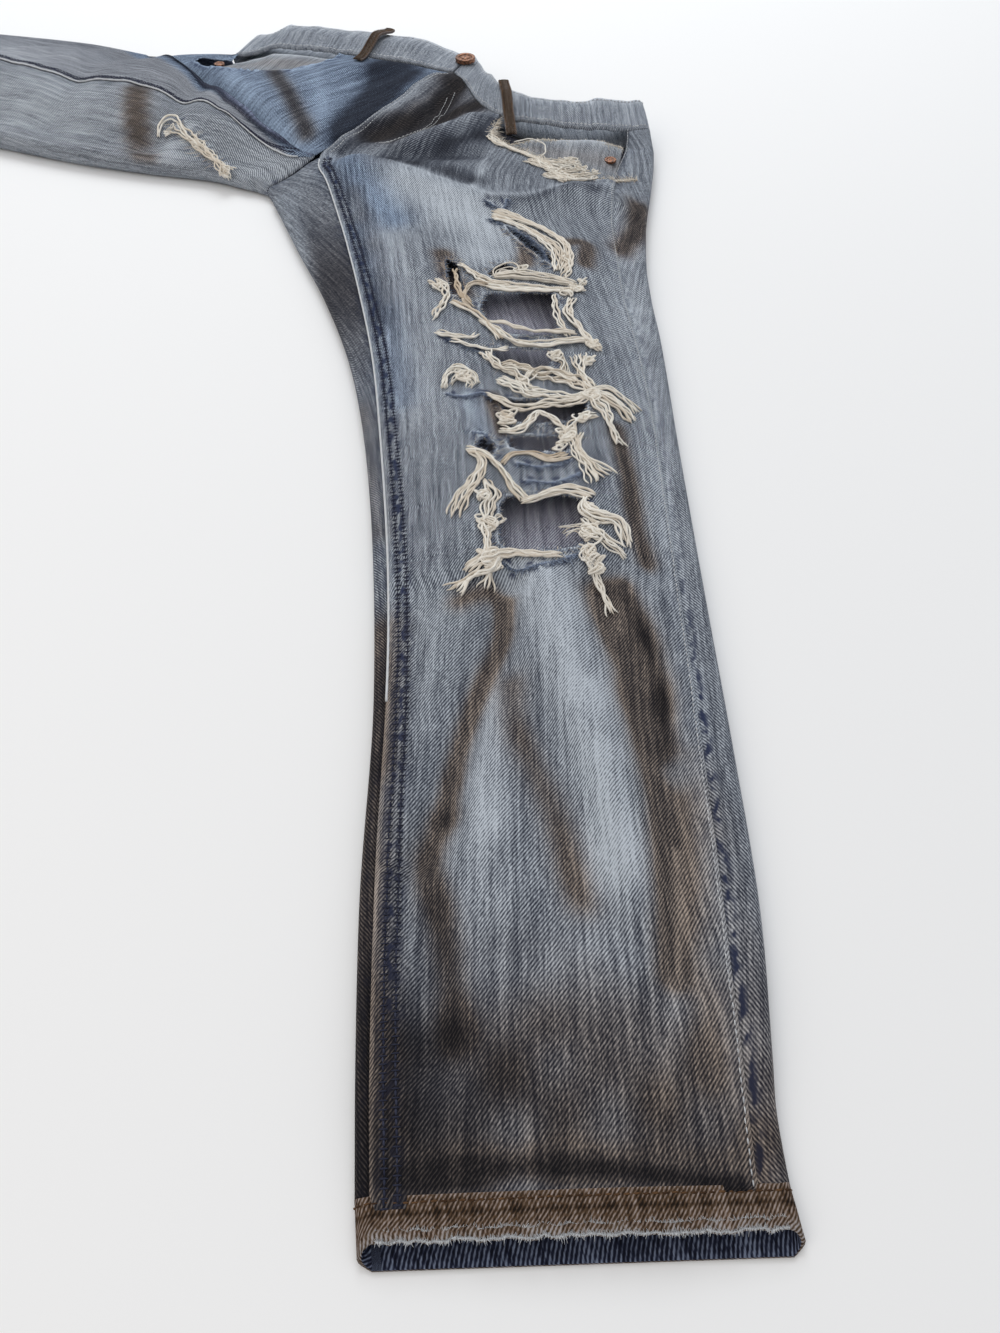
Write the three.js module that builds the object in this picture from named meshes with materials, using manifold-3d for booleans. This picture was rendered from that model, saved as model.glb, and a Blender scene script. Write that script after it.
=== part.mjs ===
// Ripped jeans laid flat, front up. The left leg lies straight. The right leg is swung out and rolled
// over, so that its inseam lies on top and its back panel shows along the near side.
// Millimetres, +Z up. The origin is under the crotch, on the surface that the jeans lie on. +Y runs
// from the left leg's hem towards the waist, and +X towards the wearer's left.
import * as THREE from "three";
import { mergeVertices } from "three/addons/utils/BufferGeometryUtils.js";
import Module from "manifold-3d";

const wasm = await Module();
wasm.setup();

// Driving dimensions.
const CLOTH = 1.6; // wall of one layer of denim
const BAND = 2.4; // wall of the waistband and of a folded hem
const SEAM_GAP = 0.35; // from each piece to the seam that it is sewn along
const ROLL_STEPS = 3; // facets round a rolled side
const EDGE = 4.5; // radius of the roll at the sides of the hips and of the left leg
const ROLL = 7; // radius of the roll at the sides of the right leg
const CROWN_RUN = 55; // how far in from its side a leg reaches its full height
const THIGH_CROWN = 11;
const SHIN_CROWN = 8;
const HEM_CROWN = 3.5;
const INSEAM = 724;
const RIGHT_LEG = 742;
const HEM_DEPTH = 13;
const HEM_DROP = 7; // how much further the back of a hem reaches than its worn front
const HEM_SLANT = 14; // how much lower the left hem is on its outer side
const SWING = THREE.MathUtils.degToRad(151); // direction of the right leg, from +X
const HIP_TILT = THREE.MathUtils.degToRad(53.4); // direction from the crotch to the waist, from +X
const SEAT_LIFT = 2.2; // the seat and the waistband ride on the back pockets and belt loops
const WAIST_HEIGHT = 19;
const STANDING = { top: 0.37, reach: 64, button: [132, 150], corner: 0.8, at: [270, 40], spread: 40 };
const VALLEY_HEIGHT = 8; // top of the hip where the right thigh lies beside it
const LOOP = { width: 10, wall: 1.4, below: 9, above: 3, bow: 2.2 };
const BACK_POCKET = { wide: 122, narrow: 104, tall: 100, point: 16, from: 50, low: 18 };
const RIVET = { radius: 4.6, height: 1.6 };
const BUTTON = { radius: 8.5, height: 3.4 };
const YARN_RADIUS = 2.2;

const FINISH = {
  leftFront: { color: 0x8794a8, roughness: 0.9 },
  leftBack: { color: 0x6c7484, roughness: 0.9 },
  rightFront: { color: 0x6f86a8, roughness: 0.9 },
  rightBack: { color: 0x80848c, roughness: 0.9 },
  band: { color: 0x8b919c, roughness: 0.9 },
  hem: { color: 0x6e6258, roughness: 0.9 },
  facing: { color: 0x86898f, roughness: 0.9 },
  yarn: { color: 0xe6dfd0, roughness: 0.95 },
  copper: { color: 0x8a5a3c, roughness: 0.45, metalness: 0.9 },
};

const point = (x, y, z = 0) => new THREE.Vector3(x, y, z);
const mix = THREE.MathUtils.lerp;
const clamp = THREE.MathUtils.clamp;
const mixPoint = (a, b, t) => [mix(a[0], b[0], t), mix(a[1], b[1], t)];
const moved = ([x, y], [dx, dy], by) => [x + dx * by, y + dy * by];
const ease = (t) => THREE.MathUtils.smoothstep(t, 0, 1);
const steps = (count) => Array.from({ length: count + 1 }, (_, k) => k / count);
const unit = ([ax, ay], [bx, by]) => {
  const length = Math.hypot(bx - ax, by - ay);
  return [(bx - ax) / length, (by - ay) / length];
};

/** A smooth function through [input, output] pairs whose inputs rise. */
function through(pairs) {
  const slope = (k) => {
    const before = pairs[Math.max(k - 1, 0)];
    const after = pairs[Math.min(k + 1, pairs.length - 1)];
    return (after[1] - before[1]) / (after[0] - before[0]);
  };
  return (input) => {
    const q = clamp(input, pairs[0][0], pairs.at(-1)[0]);
    const end = clamp(pairs.findIndex((pair) => pair[0] >= q), 1, pairs.length - 1);
    const [x0, y0] = pairs[end - 1];
    const [x1, y1] = pairs[end];
    const t = (q - x0) / (x1 - x0);
    const rise = slope(end - 1) * (x1 - x0) * t * (1 - t) ** 2 - slope(end) * (x1 - x0) * t * t * (1 - t);
    return mix(y0, y1, ease(t)) + rise;
  };
}

/** The plan point at a share of the way along a smooth curve. */
function curveAt(places) {
  const curve = new THREE.CatmullRomCurve3(places.map(([x, y]) => point(x, y)), false, "centripetal");
  return (t) => {
    const { x, y } = curve.getPointAt(clamp(t, 0, 1));
    return [x, y];
  };
}

/** Shortest distance in plan from (x, y) to a line through points. */
function distanceTo(line, x, y) {
  let nearest = Infinity;
  for (let k = 0; k + 1 < line.length; k += 1) {
    const [ax, ay] = line[k];
    const [dx, dy] = [line[k + 1][0] - ax, line[k + 1][1] - ay];
    const t = clamp(((x - ax) * dx + (y - ay) * dy) / (dx * dx + dy * dy), 0, 1);
    nearest = Math.min(nearest, Math.hypot(x - ax - t * dx, y - ay - t * dy));
  }
  return nearest;
}

// Plan of the left leg: X of each line against Y, which rises from the hem to the crotch.
const innerSide = through([
  [-745, -2], [-610, 6], [-510, 17], [-400, 22], [-310, 21], [-240, 15], [-172, 2], [-112, -14],
  [-60, -27], [-21, -37],
]);
const inseamX = through([
  [-731, 4], [-665, 8], [-592, 14], [-502, 24], [-427, 29], [-320, 31], [-240, 30], [-141, 22],
  [-60, 12], [3, 0],
]);
const outseamX = through([
  [-752, 130], [-686, 139], [-627, 148], [-564, 157], [-486, 168], [-404, 179], [-310, 191],
  [-204, 198], [-122, 207],
]);
const outerSide = through([
  [-752, 143], [-704, 147], [-685, 151], [-629, 163], [-556, 173], [-475, 183], [-357, 198], [-252, 212],
  [-183, 219], [-120, 232],
]);

// Plan of the right leg: n across it against s along it, n rising away from the left leg.
const legAxis = [Math.cos(SWING), Math.sin(SWING)];
const legAcross = [Math.sin(SWING), -Math.cos(SWING)];
const swung = (s, n) => [legAxis[0] * s + legAcross[0] * n, legAxis[1] * s + legAcross[1] * n];
const nearSide = through([[26, -36], [75, -34], [130, -41], [192, -46], [300, -45], [450, -41], [760, -40]]);
const farSide = through([[235, 130], [300, 133], [400, 122], [500, 112], [600, 106], [760, 102]]);
const rolledInseam = through([
  [0, 3], [27, -2], [59, 9], [102, 29], [140, 37], [200, 38], [430, 30], [760, 8],
]);
const rolledOutseam = through([[235, 112], [262, 98], [300, 84], [360, 75], [760, 73]]);

// Plan of the hips. Each curve runs from the waist seam down, or from the front opening to a side.
const CROTCH = [0, 3];
const CORNER = [-37, -21]; // where the seat seam turns over the edge between the legs
const rise = curveAt([[121, 136], [96, 120], [66, 84], [33, 42], CROTCH]);
const leftWaist = curveAt([
  [121, 136], [128, 98], [132, 72], [140, 52], [155, 34], [178, 22], [200, 12], [222, 4], [247, 9],
]);
const leftTop = curveAt([
  [143, 165], [148, 132], [151, 104], [157, 82], [170, 66], [198, 48], [221, 40], [250, 45],
]);
const rightWaist = curveAt([[121, 136], [88, 154], [48, 174], [8, 193], [-32, 209], [-62, 219]]);
const rightTop = curveAt([[143, 165], [110, 185], [70, 205], [28, 224], [-12, 241], [-42, 253]]);
const leftOutseam = curveAt([[247, 9], [241, -16], [231, -40], [221, -66], [212, -96]]);
const leftHip = curveAt([[265, 11], [262, -16], [255, -43], [247, -71], [238, -100]]);
const rightHip = curveAt([[-70, 222], [-98, 233], [-122, 235], [-141, 229]]);
const seatSeam = curveAt([[126, 148], [98, 116], [66, 80], [34, 38], [6, 12], [-12, -2], [-30, -16.5]]);
const THIGH_FOLD = [[-1, 4], [-33, 35], [-56, 68], [-85, 123], [-115, 175], [-140, 218]];

// Main creases: plan points, height (a trough is negative) and reach to each side.
const FOLDS = [
  { line: [[87, -455], [70, -509], [53, -545], [35, -590]], height: -8, reach: 10 },
  { line: [[83, -510], [95, -556], [105, -635]], height: -4.5, reach: 11 },
  { line: [[128, -462], [138, -518], [137, -571], [129, -650]], height: -7.5, reach: 13 },
  { line: [[107, -465], [113, -558], [117, -627]], height: 5, reach: 16 },
  { line: [[23, -600], [32, -640], [33, -672]], height: -4, reach: 9 },
  { line: [[12, -697], [60, -703], [128, -719]], height: -2.5, reach: 8 },
  { line: [[34, -26], [83, -66], [123, -97], [165, -97], [222, -90]], height: 6, reach: 15 },
  { line: [[23, 6], [65, -12], [125, -20]], height: -4, reach: 10 },
  { line: [[69, -2], [107, 20], [134, 36], [152, 34]], height: 6, reach: 9 },
  { line: [[48, 26], [78, 40], [103, 66], [118, 98]], height: -7, reach: 15 },
  { line: [[-30, 60], [20, 105], [60, 135]], height: -4, reach: 18 },
  { line: [[60, -150], [72, -240], [70, -330], [62, -420]], height: 4, reach: 26 },
  { line: [[176, -170], [172, -260], [160, -360], [150, -430]], height: 4, reach: 16 },
  { line: [swung(128, -40), swung(136, 10), swung(140, 60)], height: -7, reach: 14 },
  { line: [swung(225, -30), swung(245, 60), swung(258, 120)], height: -5, reach: 15 },
  { line: [swung(330, 100), swung(380, 20), swung(400, -30)], height: -5, reach: 14 },
  { line: [swung(470, -30), swung(520, 60), swung(560, 100)], height: -4, reach: 14 },
  { line: [swung(300, 30), swung(430, 40), swung(600, 24)], height: 4, reach: 20 },
];

const leftInnerEdge = steps(24).map((t) => mix(-21, -745, t)).map((y) => [innerSide(y), y]);
const leftOuterEdge = steps(24).map((t) => mix(-752, -120, t)).map((y) => [outerSide(y), y]);
const nearEdge = [CORNER, ...steps(30).map((t) => mix(32, 760, t)).map((s) => swung(s, nearSide(s)))];
const farEdge = steps(24).map((t) => mix(235, 760, t)).map((s) => swung(s, farSide(s)));
const leftHipEdge = [[266, 50], ...steps(6).map(leftHip)];
const rightHipEdge = [[-50, 256], ...steps(4).map(rightHip)];
const bodyEdges = [leftInnerEdge, leftOuterEdge, leftHipEdge, rightHipEdge];
const waistLines = [
  steps(10).map(leftWaist), steps(5).map(rightWaist), steps(10).map(leftTop), steps(5).map(rightTop),
];

const toEdges = (edges, x, y) => Math.min(...edges.map((line) => distanceTo(line, x, y)));

/** Height that the creases add at (x, y). */
function creases(x, y) {
  const share = ({ line, reach }) => Math.exp(-((distanceTo(line, x, y) / reach) ** 2));
  return FOLDS.reduce((sum, fold) => sum + fold.height * share(fold), 0);
}

/** Height of the lower layer's outer face. */
function floorHeight(x, y) {
  const up = Math.cos(HIP_TILT) * x + Math.sin(HIP_TILT) * y;
  const across = Math.abs(Math.sin(HIP_TILT) * x - Math.cos(HIP_TILT) * y);
  return SEAT_LIFT * Math.max(ease((across - 14) / 18) * ease((up + 50) / 25), ease((up - 118) / 20));
}

/** Height of a rounded layer: over the roll at its side, and crowned further in. */
function crowned(x, y, fromSide, radius, crown) {
  const base = floorHeight(x, y);
  if (fromSide < radius) return base + radius + Math.sqrt(radius ** 2 - (radius - fromSide) ** 2);
  const inward = ease((fromSide - radius) / CROWN_RUN);
  return base + 2 * radius + inward * crown + creases(x, y) * ease((fromSide - radius) / 16);
}

/** Height of the upper layer's outer face over the left leg and the hips. */
function bodyTop(x, y) {
  const fromSide = toEdges(bodyEdges, x, y);
  const legCrown = mix(SHIN_CROWN, THIGH_CROWN, ease((y + 560) / 200));
  const free = crowned(x, y, fromSide, EDGE, mix(HEM_CROWN, legCrown, ease((y + 735) / 110)));
  const nearWaist = ease(1 - toEdges(waistLines, x, y) / 26);
  const lying = mix(free, Math.min(free, WAIST_HEIGHT), nearWaist);
  const besideThigh = x + y > -40 && x < 60 ? ease(1 - distanceTo(THIGH_FOLD, x, y) / 36) : 0;
  return mix(lying, Math.min(lying, VALLEY_HEIGHT), besideThigh * ease(Math.hypot(x, y) / 45));
}

const rollAt = (s) => mix(EDGE, ROLL, ease((s - 30) / 60));

/** Height of the upper layer's outer face over the right leg. */
function thighTop(x, y) {
  const s = x * legAxis[0] + y * legAxis[1];
  const crown = mix(mix(THIGH_CROWN, 14, ease(s / 90)), HEM_CROWN, ease((s - 350) / 380));
  return crowned(x, y, toEdges([nearEdge, farEdge], x, y), rollAt(s), crown);
}

/** A closed wall from rows of points on its outer face; its inner face lies in along their normals. */
function clothWall(rows, wall, { facing = 1, looped = false } = {}) {
  const [height, width] = [rows.length, rows[0].length];
  const column = (j) => (looped ? (j + width) % width : clamp(j, 0, width - 1));
  const at = (i, j) => rows[clamp(i, 0, height - 1)][column(j)];
  // At a border the wall is cut upright, so that it doesn't lean over its seam.
  const upright = (normal, x, y) => {
    const out = point(x, y);
    if (out.length() > 0.5) normal.addScaledVector(out.normalize(), -normal.dot(out)).normalize();
  };
  const outer = rows.flat();
  const inner = outer.map((place, k) => {
    const [i, j] = [Math.floor(k / width), k % width];
    const across = at(i, j + 1).clone().sub(at(i, j - 1));
    const down = at(i + 1, j).clone().sub(at(i - 1, j));
    const normal = down.clone().cross(across).normalize();
    if (!looped && (j === 0 || j === width - 1)) upright(normal, -down.y, down.x);
    if (i === 0 || i === height - 1) upright(normal, down.x, down.y);
    return place.clone().addScaledVector(normal, -facing * wall);
  });
  const index = [];
  const quad = (a, b, c, d) => index.push(...(facing > 0 ? [a, b, c, a, c, d] : [a, c, b, a, d, c]));
  const under = outer.length;
  for (let i = 0; i + 1 < height; i += 1) {
    for (let j = 0; j < (looped ? width : width - 1); j += 1) {
      const [a, b] = [i * width + j, i * width + column(j + 1)];
      quad(a, a + width, b + width, b);
      quad(under + a, under + b, under + b + width, under + a + width);
    }
    if (!looped) {
      const [left, right] = [i * width, (i + 1) * width - 1];
      quad(left, under + left, under + left + width, left + width);
      quad(right, right + width, under + right + width, under + right);
    }
  }
  for (let j = 0; j < (looped ? width : width - 1); j += 1) {
    const [a, b, last] = [j, column(j + 1), (height - 1) * width];
    quad(a, b, under + b, under + a);
    quad(last + b, last + a, under + last + a, under + last + b);
  }
  const geometry = new THREE.BufferGeometry();
  const places = [...outer, ...inner].flatMap((place) => [...place]);
  geometry.setAttribute("position", new THREE.Float32BufferAttribute(places, 3));
  geometry.setIndex(index);
  geometry.computeVertexNormals();
  return geometry;
}

/** Rows of points moved out of the surface that they lie on. */
function raised(rows, by) {
  return rows.map((row, i) =>
    row.map((place, j) => {
      const across = row[Math.min(j + 1, row.length - 1)].clone().sub(row[Math.max(j - 1, 0)]);
      const down = rows[Math.min(i + 1, rows.length - 1)][j].clone().sub(rows[Math.max(i - 1, 0)][j]);
      return place.clone().addScaledVector(down.cross(across).normalize(), by);
    }),
  );
}

const lift = (places, height) => places.map(([x, y]) => point(x, y, height(x, y)));
const run = (from, to, count) => steps(count).map((t) => mixPoint(from, to, t));

/** Points round a rolled side at a plan place, from one angle to another: 0 is its top, PI its underside. */
function roll([x, y], [outX, outY], radius, from, to, count = ROLL_STEPS) {
  return steps(count).map((t) => {
    const turn = mix(from, to, t);
    const out = radius * (Math.sin(turn) - 1);
    return point(x + outX * out, y + outY * out, floorHeight(x, y) + radius * (1 + Math.cos(turn)));
  });
}

// Rows of the left leg: Y on the inseam, on the outer side and on the inner side.
const LEFT_ROWS = [
  [-10, -124, -50], [-48, -150, -66], [-82, -175, -92], [-116, -200, -120], [-152, -228, -153],
  [-190, -256, -190],
  ...[-232, -276, -322, -368, -412, -454, -492, -528, -562, -596, -628, -658, -686].map((y) => [
    y, mix(y - HEM_SLANT, y - 56, ease((y + 400) / 250)), y,
  ]),
].map(([inseam, outer, inner]) => ({
  seam: [inseamX(inseam), inseam],
  outseam: [outseamX(outer), outer],
  outer: [outerSide(outer), outer],
  inner: [innerSide(inner), inner],
}));
const hemTop = { inner: [innerSide(HEM_DEPTH - INSEAM), HEM_DEPTH - INSEAM] };
hemTop.outer = [outerSide(hemTop.inner[1] - HEM_SLANT), hemTop.inner[1] - HEM_SLANT];
hemTop.seam = mixPoint(hemTop.inner, hemTop.outer, 0.045);
hemTop.outseam = mixPoint(hemTop.inner, hemTop.outer, 0.92);
LEFT_ROWS.push(hemTop);
const hipRows = (start, end, count = 5) => steps(count).map((t) => mix(start, end, t));

/** A plan point on the hips' upper layer: t runs down from the waist seam, u from the rise to the side. */
function overHip(waist, side, t, u) {
  const straight = mixPoint(waist(0), waist(1), u);
  const curved = waist(u);
  const keep = (1 - t) ** 1.2;
  return mixPoint(rise(t), side(t), u).map((value, axis) => value + keep * (curved[axis] - straight[axis]));
}

/** Plan points between two seams, each end clear of its seam. */
function betweenSeams(places) {
  const [first, last] = [places[0], places.at(-1)];
  places[0] = moved(first, unit(first, places[1]), SEAM_GAP);
  places[places.length - 1] = moved(last, unit(last, places.at(-2)), SEAM_GAP);
  return places;
}

function leftFrontRows(columns) {
  const hips = hipRows(0.006, 0.94).map((t) => columns.map((u) => overHip(leftWaist, leftOutseam, t, u)));
  const leg = LEFT_ROWS.map((row) => columns.map((u) => mixPoint(row.seam, row.outseam, u)));
  return [...hips, ...leg].map((places) => lift(betweenSeams(places), bodyTop));
}

/** From a panel's floor part round a side to its seam on top. */
function upSide(from, side, seam) {
  const out = unit(seam, side);
  const foot = moved(side, out, -EDGE);
  const floor = run(from, foot, 5).slice(1, -1);
  const top = run(foot, moved(seam, out, SEAM_GAP), 2).slice(1);
  return [...lift(floor, floorHeight), ...roll(side, out, EDGE, Math.PI, 0), ...lift(top, bodyTop)];
}

/** The floor part of a back row: closely spaced at the seat seam, and sagging as the waist does. */
function underHip(waist, t, seam, end, count) {
  const length = Math.hypot(end[0] - seam[0], end[1] - seam[1]);
  const close = Array.from({ length: ROLL_STEPS + 3 }, (_, k) => (0.4 + 1.5 * k) / length);
  const spread = steps(count).slice(1).map((share) => mix(close.at(-1), 1, share));
  const sag = (1 - t) ** 1.2;
  return [...close, ...spread].map((u) => {
    const [curved, straight] = [waist(u), mixPoint(waist(0), waist(1), u)];
    return mixPoint(seam, end, u).map((value, axis) => value + sag * (curved[axis] - straight[axis]));
  });
}

/** A row of plan points moved sideways, to the left of its direction. */
function aside(places, by) {
  return places.map((place, k) => {
    const [dx, dy] = unit(places[Math.max(k - 1, 0)], places[Math.min(k + 1, places.length - 1)]);
    return moved(place, [-dy, dx], by);
  });
}

/** Rows that fan out from the seat seam where it climbs over the corner between the legs. */
function cornerRows(edgeAt, out, finish) {
  return [0.75, 0.5, 0.25].map((share, k) => {
    const start = share * Math.PI;
    const climb = steps(ROLL_STEPS + 2).map((t) => {
      const place = edgeAt(mix(0.3, 3 + 4 * k, ease(t * 1.5)));
      return roll(place, out, EDGE, mix(start, Math.PI, t), 0, 1)[0];
    });
    return [...climb, ...finish(climb.at(-1), k)];
  });
}

/** The upper part of a row, from its start to a side, and round the side to the floor. */
function downSide(start, side, out, radius, height) {
  const top = run(start, moved(side, out, -radius), 2).slice(0, -1);
  return [...lift(top, height), ...roll(side, out, radius, 0, Math.PI)];
}

const alongEdge = (edge) => {
  const at = curveAt(edge);
  const pieces = edge.slice(1).map(([x, y], k) => Math.hypot(x - edge[k][0], y - edge[k][1]));
  const length = pieces.reduce((sum, piece) => sum + piece, 0);
  return (distance) => at(distance / length);
};
const leftCornerEdge = alongEdge(leftInnerEdge.slice(0, 5));
const rightCornerEdge = alongEdge(nearEdge.slice(0, 6));
const SEAT_TOP = [[-31, -17], [-16, -8]]; // the seat seam on the upper layer, from the corner to the crotch

function leftBackHips(from, to, count) {
  return hipRows(0, 1, count).map((share) => {
    const t = mix(from[1], to[1], share);
    const [side, outseam] = [leftHip(t), leftOutseam(t)];
    const foot = moved(side, unit(outseam, side), -EDGE);
    const floor = underHip(leftWaist, t, seatSeam(mix(from[0], to[0], share)), foot, 5);
    return [...lift(floor.slice(0, -1), floorHeight), ...upSide(floor.at(-2), side, outseam).slice(4)];
  });
}

const YOKE_DEPTH = { middle: 0.27, side: 0.2 }; // shares of the seat seam and of the hip's side
const plan = ({ x, y }) => [x, y];

function leftBackRows() {
  const hips = leftBackHips([YOKE_DEPTH.middle + 0.004, YOKE_DEPTH.side + 0.006], [0.96, 0.96], 4);
  const first = LEFT_ROWS[0];
  const between = (hip, leg) => (t) => mixPoint(hip(1), leg, t);
  const [side, outseam] = [between(leftHip, first.outer), between(leftOutseam, first.outseam)];
  const towardsLeg = (t) => [side(t), outseam(t)];
  const corner = cornerRows(leftCornerEdge, [-0.84, -0.54], (foot, k) =>
    upSide(plan(foot), ...towardsLeg((k + 1) / 6)),
  );
  const seat = SEAT_TOP.map((seam, k) => {
    const out = [-0.92 - 0.03 * k, -0.39 + 0.08 * k];
    const head = downSide(moved(seam, [0.5, -0.85], 0.4), leftCornerEdge(16 + 7 * k), out, EDGE, bodyTop);
    return [...head, ...upSide(plan(head.at(-1)), ...towardsLeg((k + 4) / 6))];
  });
  const leg = LEFT_ROWS.map(({ seam, inner, outer, outseam }) => {
    const head = downSide(moved(seam, [-1, 0], SEAM_GAP), inner, [-1, 0], EDGE, bodyTop);
    return [...head, ...upSide(plan(head.at(-1)), outer, outseam)];
  });
  return [...hips, ...corner, ...seat, ...leg];
}

// Rows of the right leg: s on the inseam, on the far side and on the near side.
const RIGHT_ROWS = [
  [8, 236, 58], [28, 244, 72], [52, 256, 88], [80, 272, 104], [112, 292, 126], [146, 316, 152],
  [182, 342, 184],
  [220, 370, 220], [266, 402, 266], [318, 440, 318], [374, 480, 374], [432, 524, 432], [492, 569, 492],
  [552, 614, 552], [612, 656, 612], [672, 698, 672],
  [RIGHT_LEG - HEM_DEPTH, RIGHT_LEG - HEM_DEPTH, RIGHT_LEG - HEM_DEPTH],
].map(([inseam, far, near]) => ({
  seam: swung(inseam, rolledInseam(inseam)),
  far: swung(far, farSide(far)),
  under: swung(far, rolledOutseam(far)),
  near: swung(near, nearSide(near)),
  farRoll: rollAt(far),
  nearRoll: rollAt(near),
}));
const hipUnder = (t) => moved(rightHip(t), unit(rightHip(t), seatSeam(0.9 * t)), EDGE + 12);
const FAR_OUT = legAcross;
const NEAR_OUT = legAcross.map((value) => -value);
const RIGHT_COLUMNS = steps(9);

/** Round a side to the floor, and along the floor to a seam. */
function underSide(side, out, radius, seam) {
  const foot = moved(side, out, -radius);
  const floor = run(foot, moved(seam, unit(seam, foot), SEAM_GAP), 2).slice(1);
  return [...roll(side, out, radius, 0, Math.PI), ...lift(floor, floorHeight)];
}

function rightFrontRows() {
  const hipOut = (t) => unit(hipUnder(t), rightHip(t));
  const brow = (t) => moved(rightHip(t), hipOut(t), -EDGE);
  const hips = hipRows(0.022, 0.94).map((t) => {
    const top = RIGHT_COLUMNS.map((u) => overHip(rightWaist, brow, t, u));
    top[0] = moved(top[0], unit(top[0], top[1]), SEAM_GAP);
    const under = underSide(rightHip(t), hipOut(t), EDGE, moved(hipUnder(t), hipOut(t), 0.5));
    return [...lift(top.slice(0, -1), bodyTop), ...under];
  });
  const fold = curveAt(THIGH_FOLD);
  const crestOf = (by, height) => {
    const swell = (u) => by * Math.sin(Math.PI * Math.min(u + 0.12, 1));
    const top = RIGHT_COLUMNS.map((u) => moved(fold(u), [-0.84, -0.54], swell(u)));
    top[0] = moved(top[0], unit(top[0], top[1]), 1);
    const side = mixPoint(rightHip(1), RIGHT_ROWS[0].far, 0.5 + by / 12);
    const radius = mix(EDGE, ROLL, 0.5 + by / 12);
    const seam = mixPoint(hipUnder(1), RIGHT_ROWS[0].under, 0.5 + by / 12);
    return [...lift(top.slice(0, -1), height), ...underSide(side, FAR_OUT, radius, seam)];
  };
  const leg = RIGHT_ROWS.map(({ seam, far, under, farRoll }) => {
    const brow = moved(far, FAR_OUT, -farRoll);
    const top = run(moved(seam, FAR_OUT, SEAM_GAP), brow, RIGHT_COLUMNS.length - 1);
    return [...lift(top.slice(0, -1), thighTop), ...underSide(far, FAR_OUT, farRoll, under)];
  });
  const brink = (x, y) => thighTop(x, y) - 2.5 * ease(Math.hypot(x, y) / 60);
  return [...hips, crestOf(-3, bodyTop), crestOf(0, brink), crestOf(4, thighTop), ...leg];
}

function rightBackHips(from, to, count) {
  return hipRows(0, 1, count).map((share) => {
    const t = mix(from[1], to[1], share);
    const floor = underHip(rightWaist, t, seatSeam(mix(from[0], to[0], share)), hipUnder(t), 5);
    return lift([...floor.slice(0, -1), betweenSeams(floor).at(-1)], floorHeight);
  });
}

function rightBackRows() {
  const floorTo = (from, end) => lift(betweenSeams(run(from, end, 5)).slice(1), floorHeight);
  const hips = rightBackHips([YOKE_DEPTH.middle + 0.004, YOKE_DEPTH.side + 0.006], [0.96, 0.96], 4);
  const first = RIGHT_ROWS[0];
  const corner = cornerRows(rightCornerEdge, [-0.72, -0.69], (foot, k) =>
    floorTo(plan(foot), mixPoint(hipUnder(1), first.under, (k + 1) / 6)),
  );
  const seat = SEAT_TOP.map((seam, k) => {
    const out = [-0.6 + 0.05 * k, -0.8 - 0.03 * k];
    const head = downSide(moved(seam, [-0.5, 0.85], 0.4), rightCornerEdge(16 + 7 * k), out, EDGE, thighTop);
    return [...head, ...floorTo(plan(head.at(-1)), mixPoint(hipUnder(1), first.under, (k + 4) / 6))];
  });
  const leg = RIGHT_ROWS.map(({ seam, near, under, nearRoll }) => {
    const head = downSide(moved(seam, FAR_OUT, -SEAM_GAP), near, NEAR_OUT, nearRoll, thighTop);
    return [...head, ...floorTo(plan(head.at(-1)), under)];
  });
  return [...hips, ...corner, ...seat, ...leg];
}

// The back yokes' rows: the same courses as the back panels', above the yoke seam.
const YOKE_END = [YOKE_DEPTH.middle - 0.004, YOKE_DEPTH.side - 0.006];
const leftYokeRows = () => leftBackHips([0.006, 0.006], YOKE_END, 2);
const rightYokeRows = () => rightBackHips([0.006, 0.006], YOKE_END, 2);

/** A half of the waistband: from the front opening over the top and round the side to the centre back. */
function waistbandRows([seamLine, topLine], sides, out, clear) {
  return steps(2).map((up) => {
    const along = (u) => mixPoint(seamLine(u), topLine(u), mix(0.03, 1, up));
    const side = mixPoint(sides[0], sides[1], up);
    const head = moved(side, out, -EDGE);
    const top = [...steps(10).map((u) => along(mix(0.006, 1, u))), mixPoint(along(1), head, 0.5)];
    const middle = mixPoint(seatSeam(0), BACK_TOP, up);
    const back = aside(underHip(along, 0, middle, head, 5), clear * (1 - up)).slice(0, -1);
    const under = lift(back.reverse(), floorHeight);
    return [...lift(top, bodyTop), ...roll(side, out, EDGE, 0, Math.PI), ...under];
  });
}
const BACK_TOP = [149, 177]; // the waistband's top edge at the centre back
const BAND_CLEAR = 0.9;
const leftBandRows = () =>
  waistbandRows([leftWaist, leftTop], [[265, 11.5], [267, 49]], [1, 0.06], BAND_CLEAR);
const rightBandRows = () =>
  waistbandRows([rightWaist, rightTop], [[-70, 222.8], [-50, 257]], [-0.93, 0.37], -BAND_CLEAR);

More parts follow.
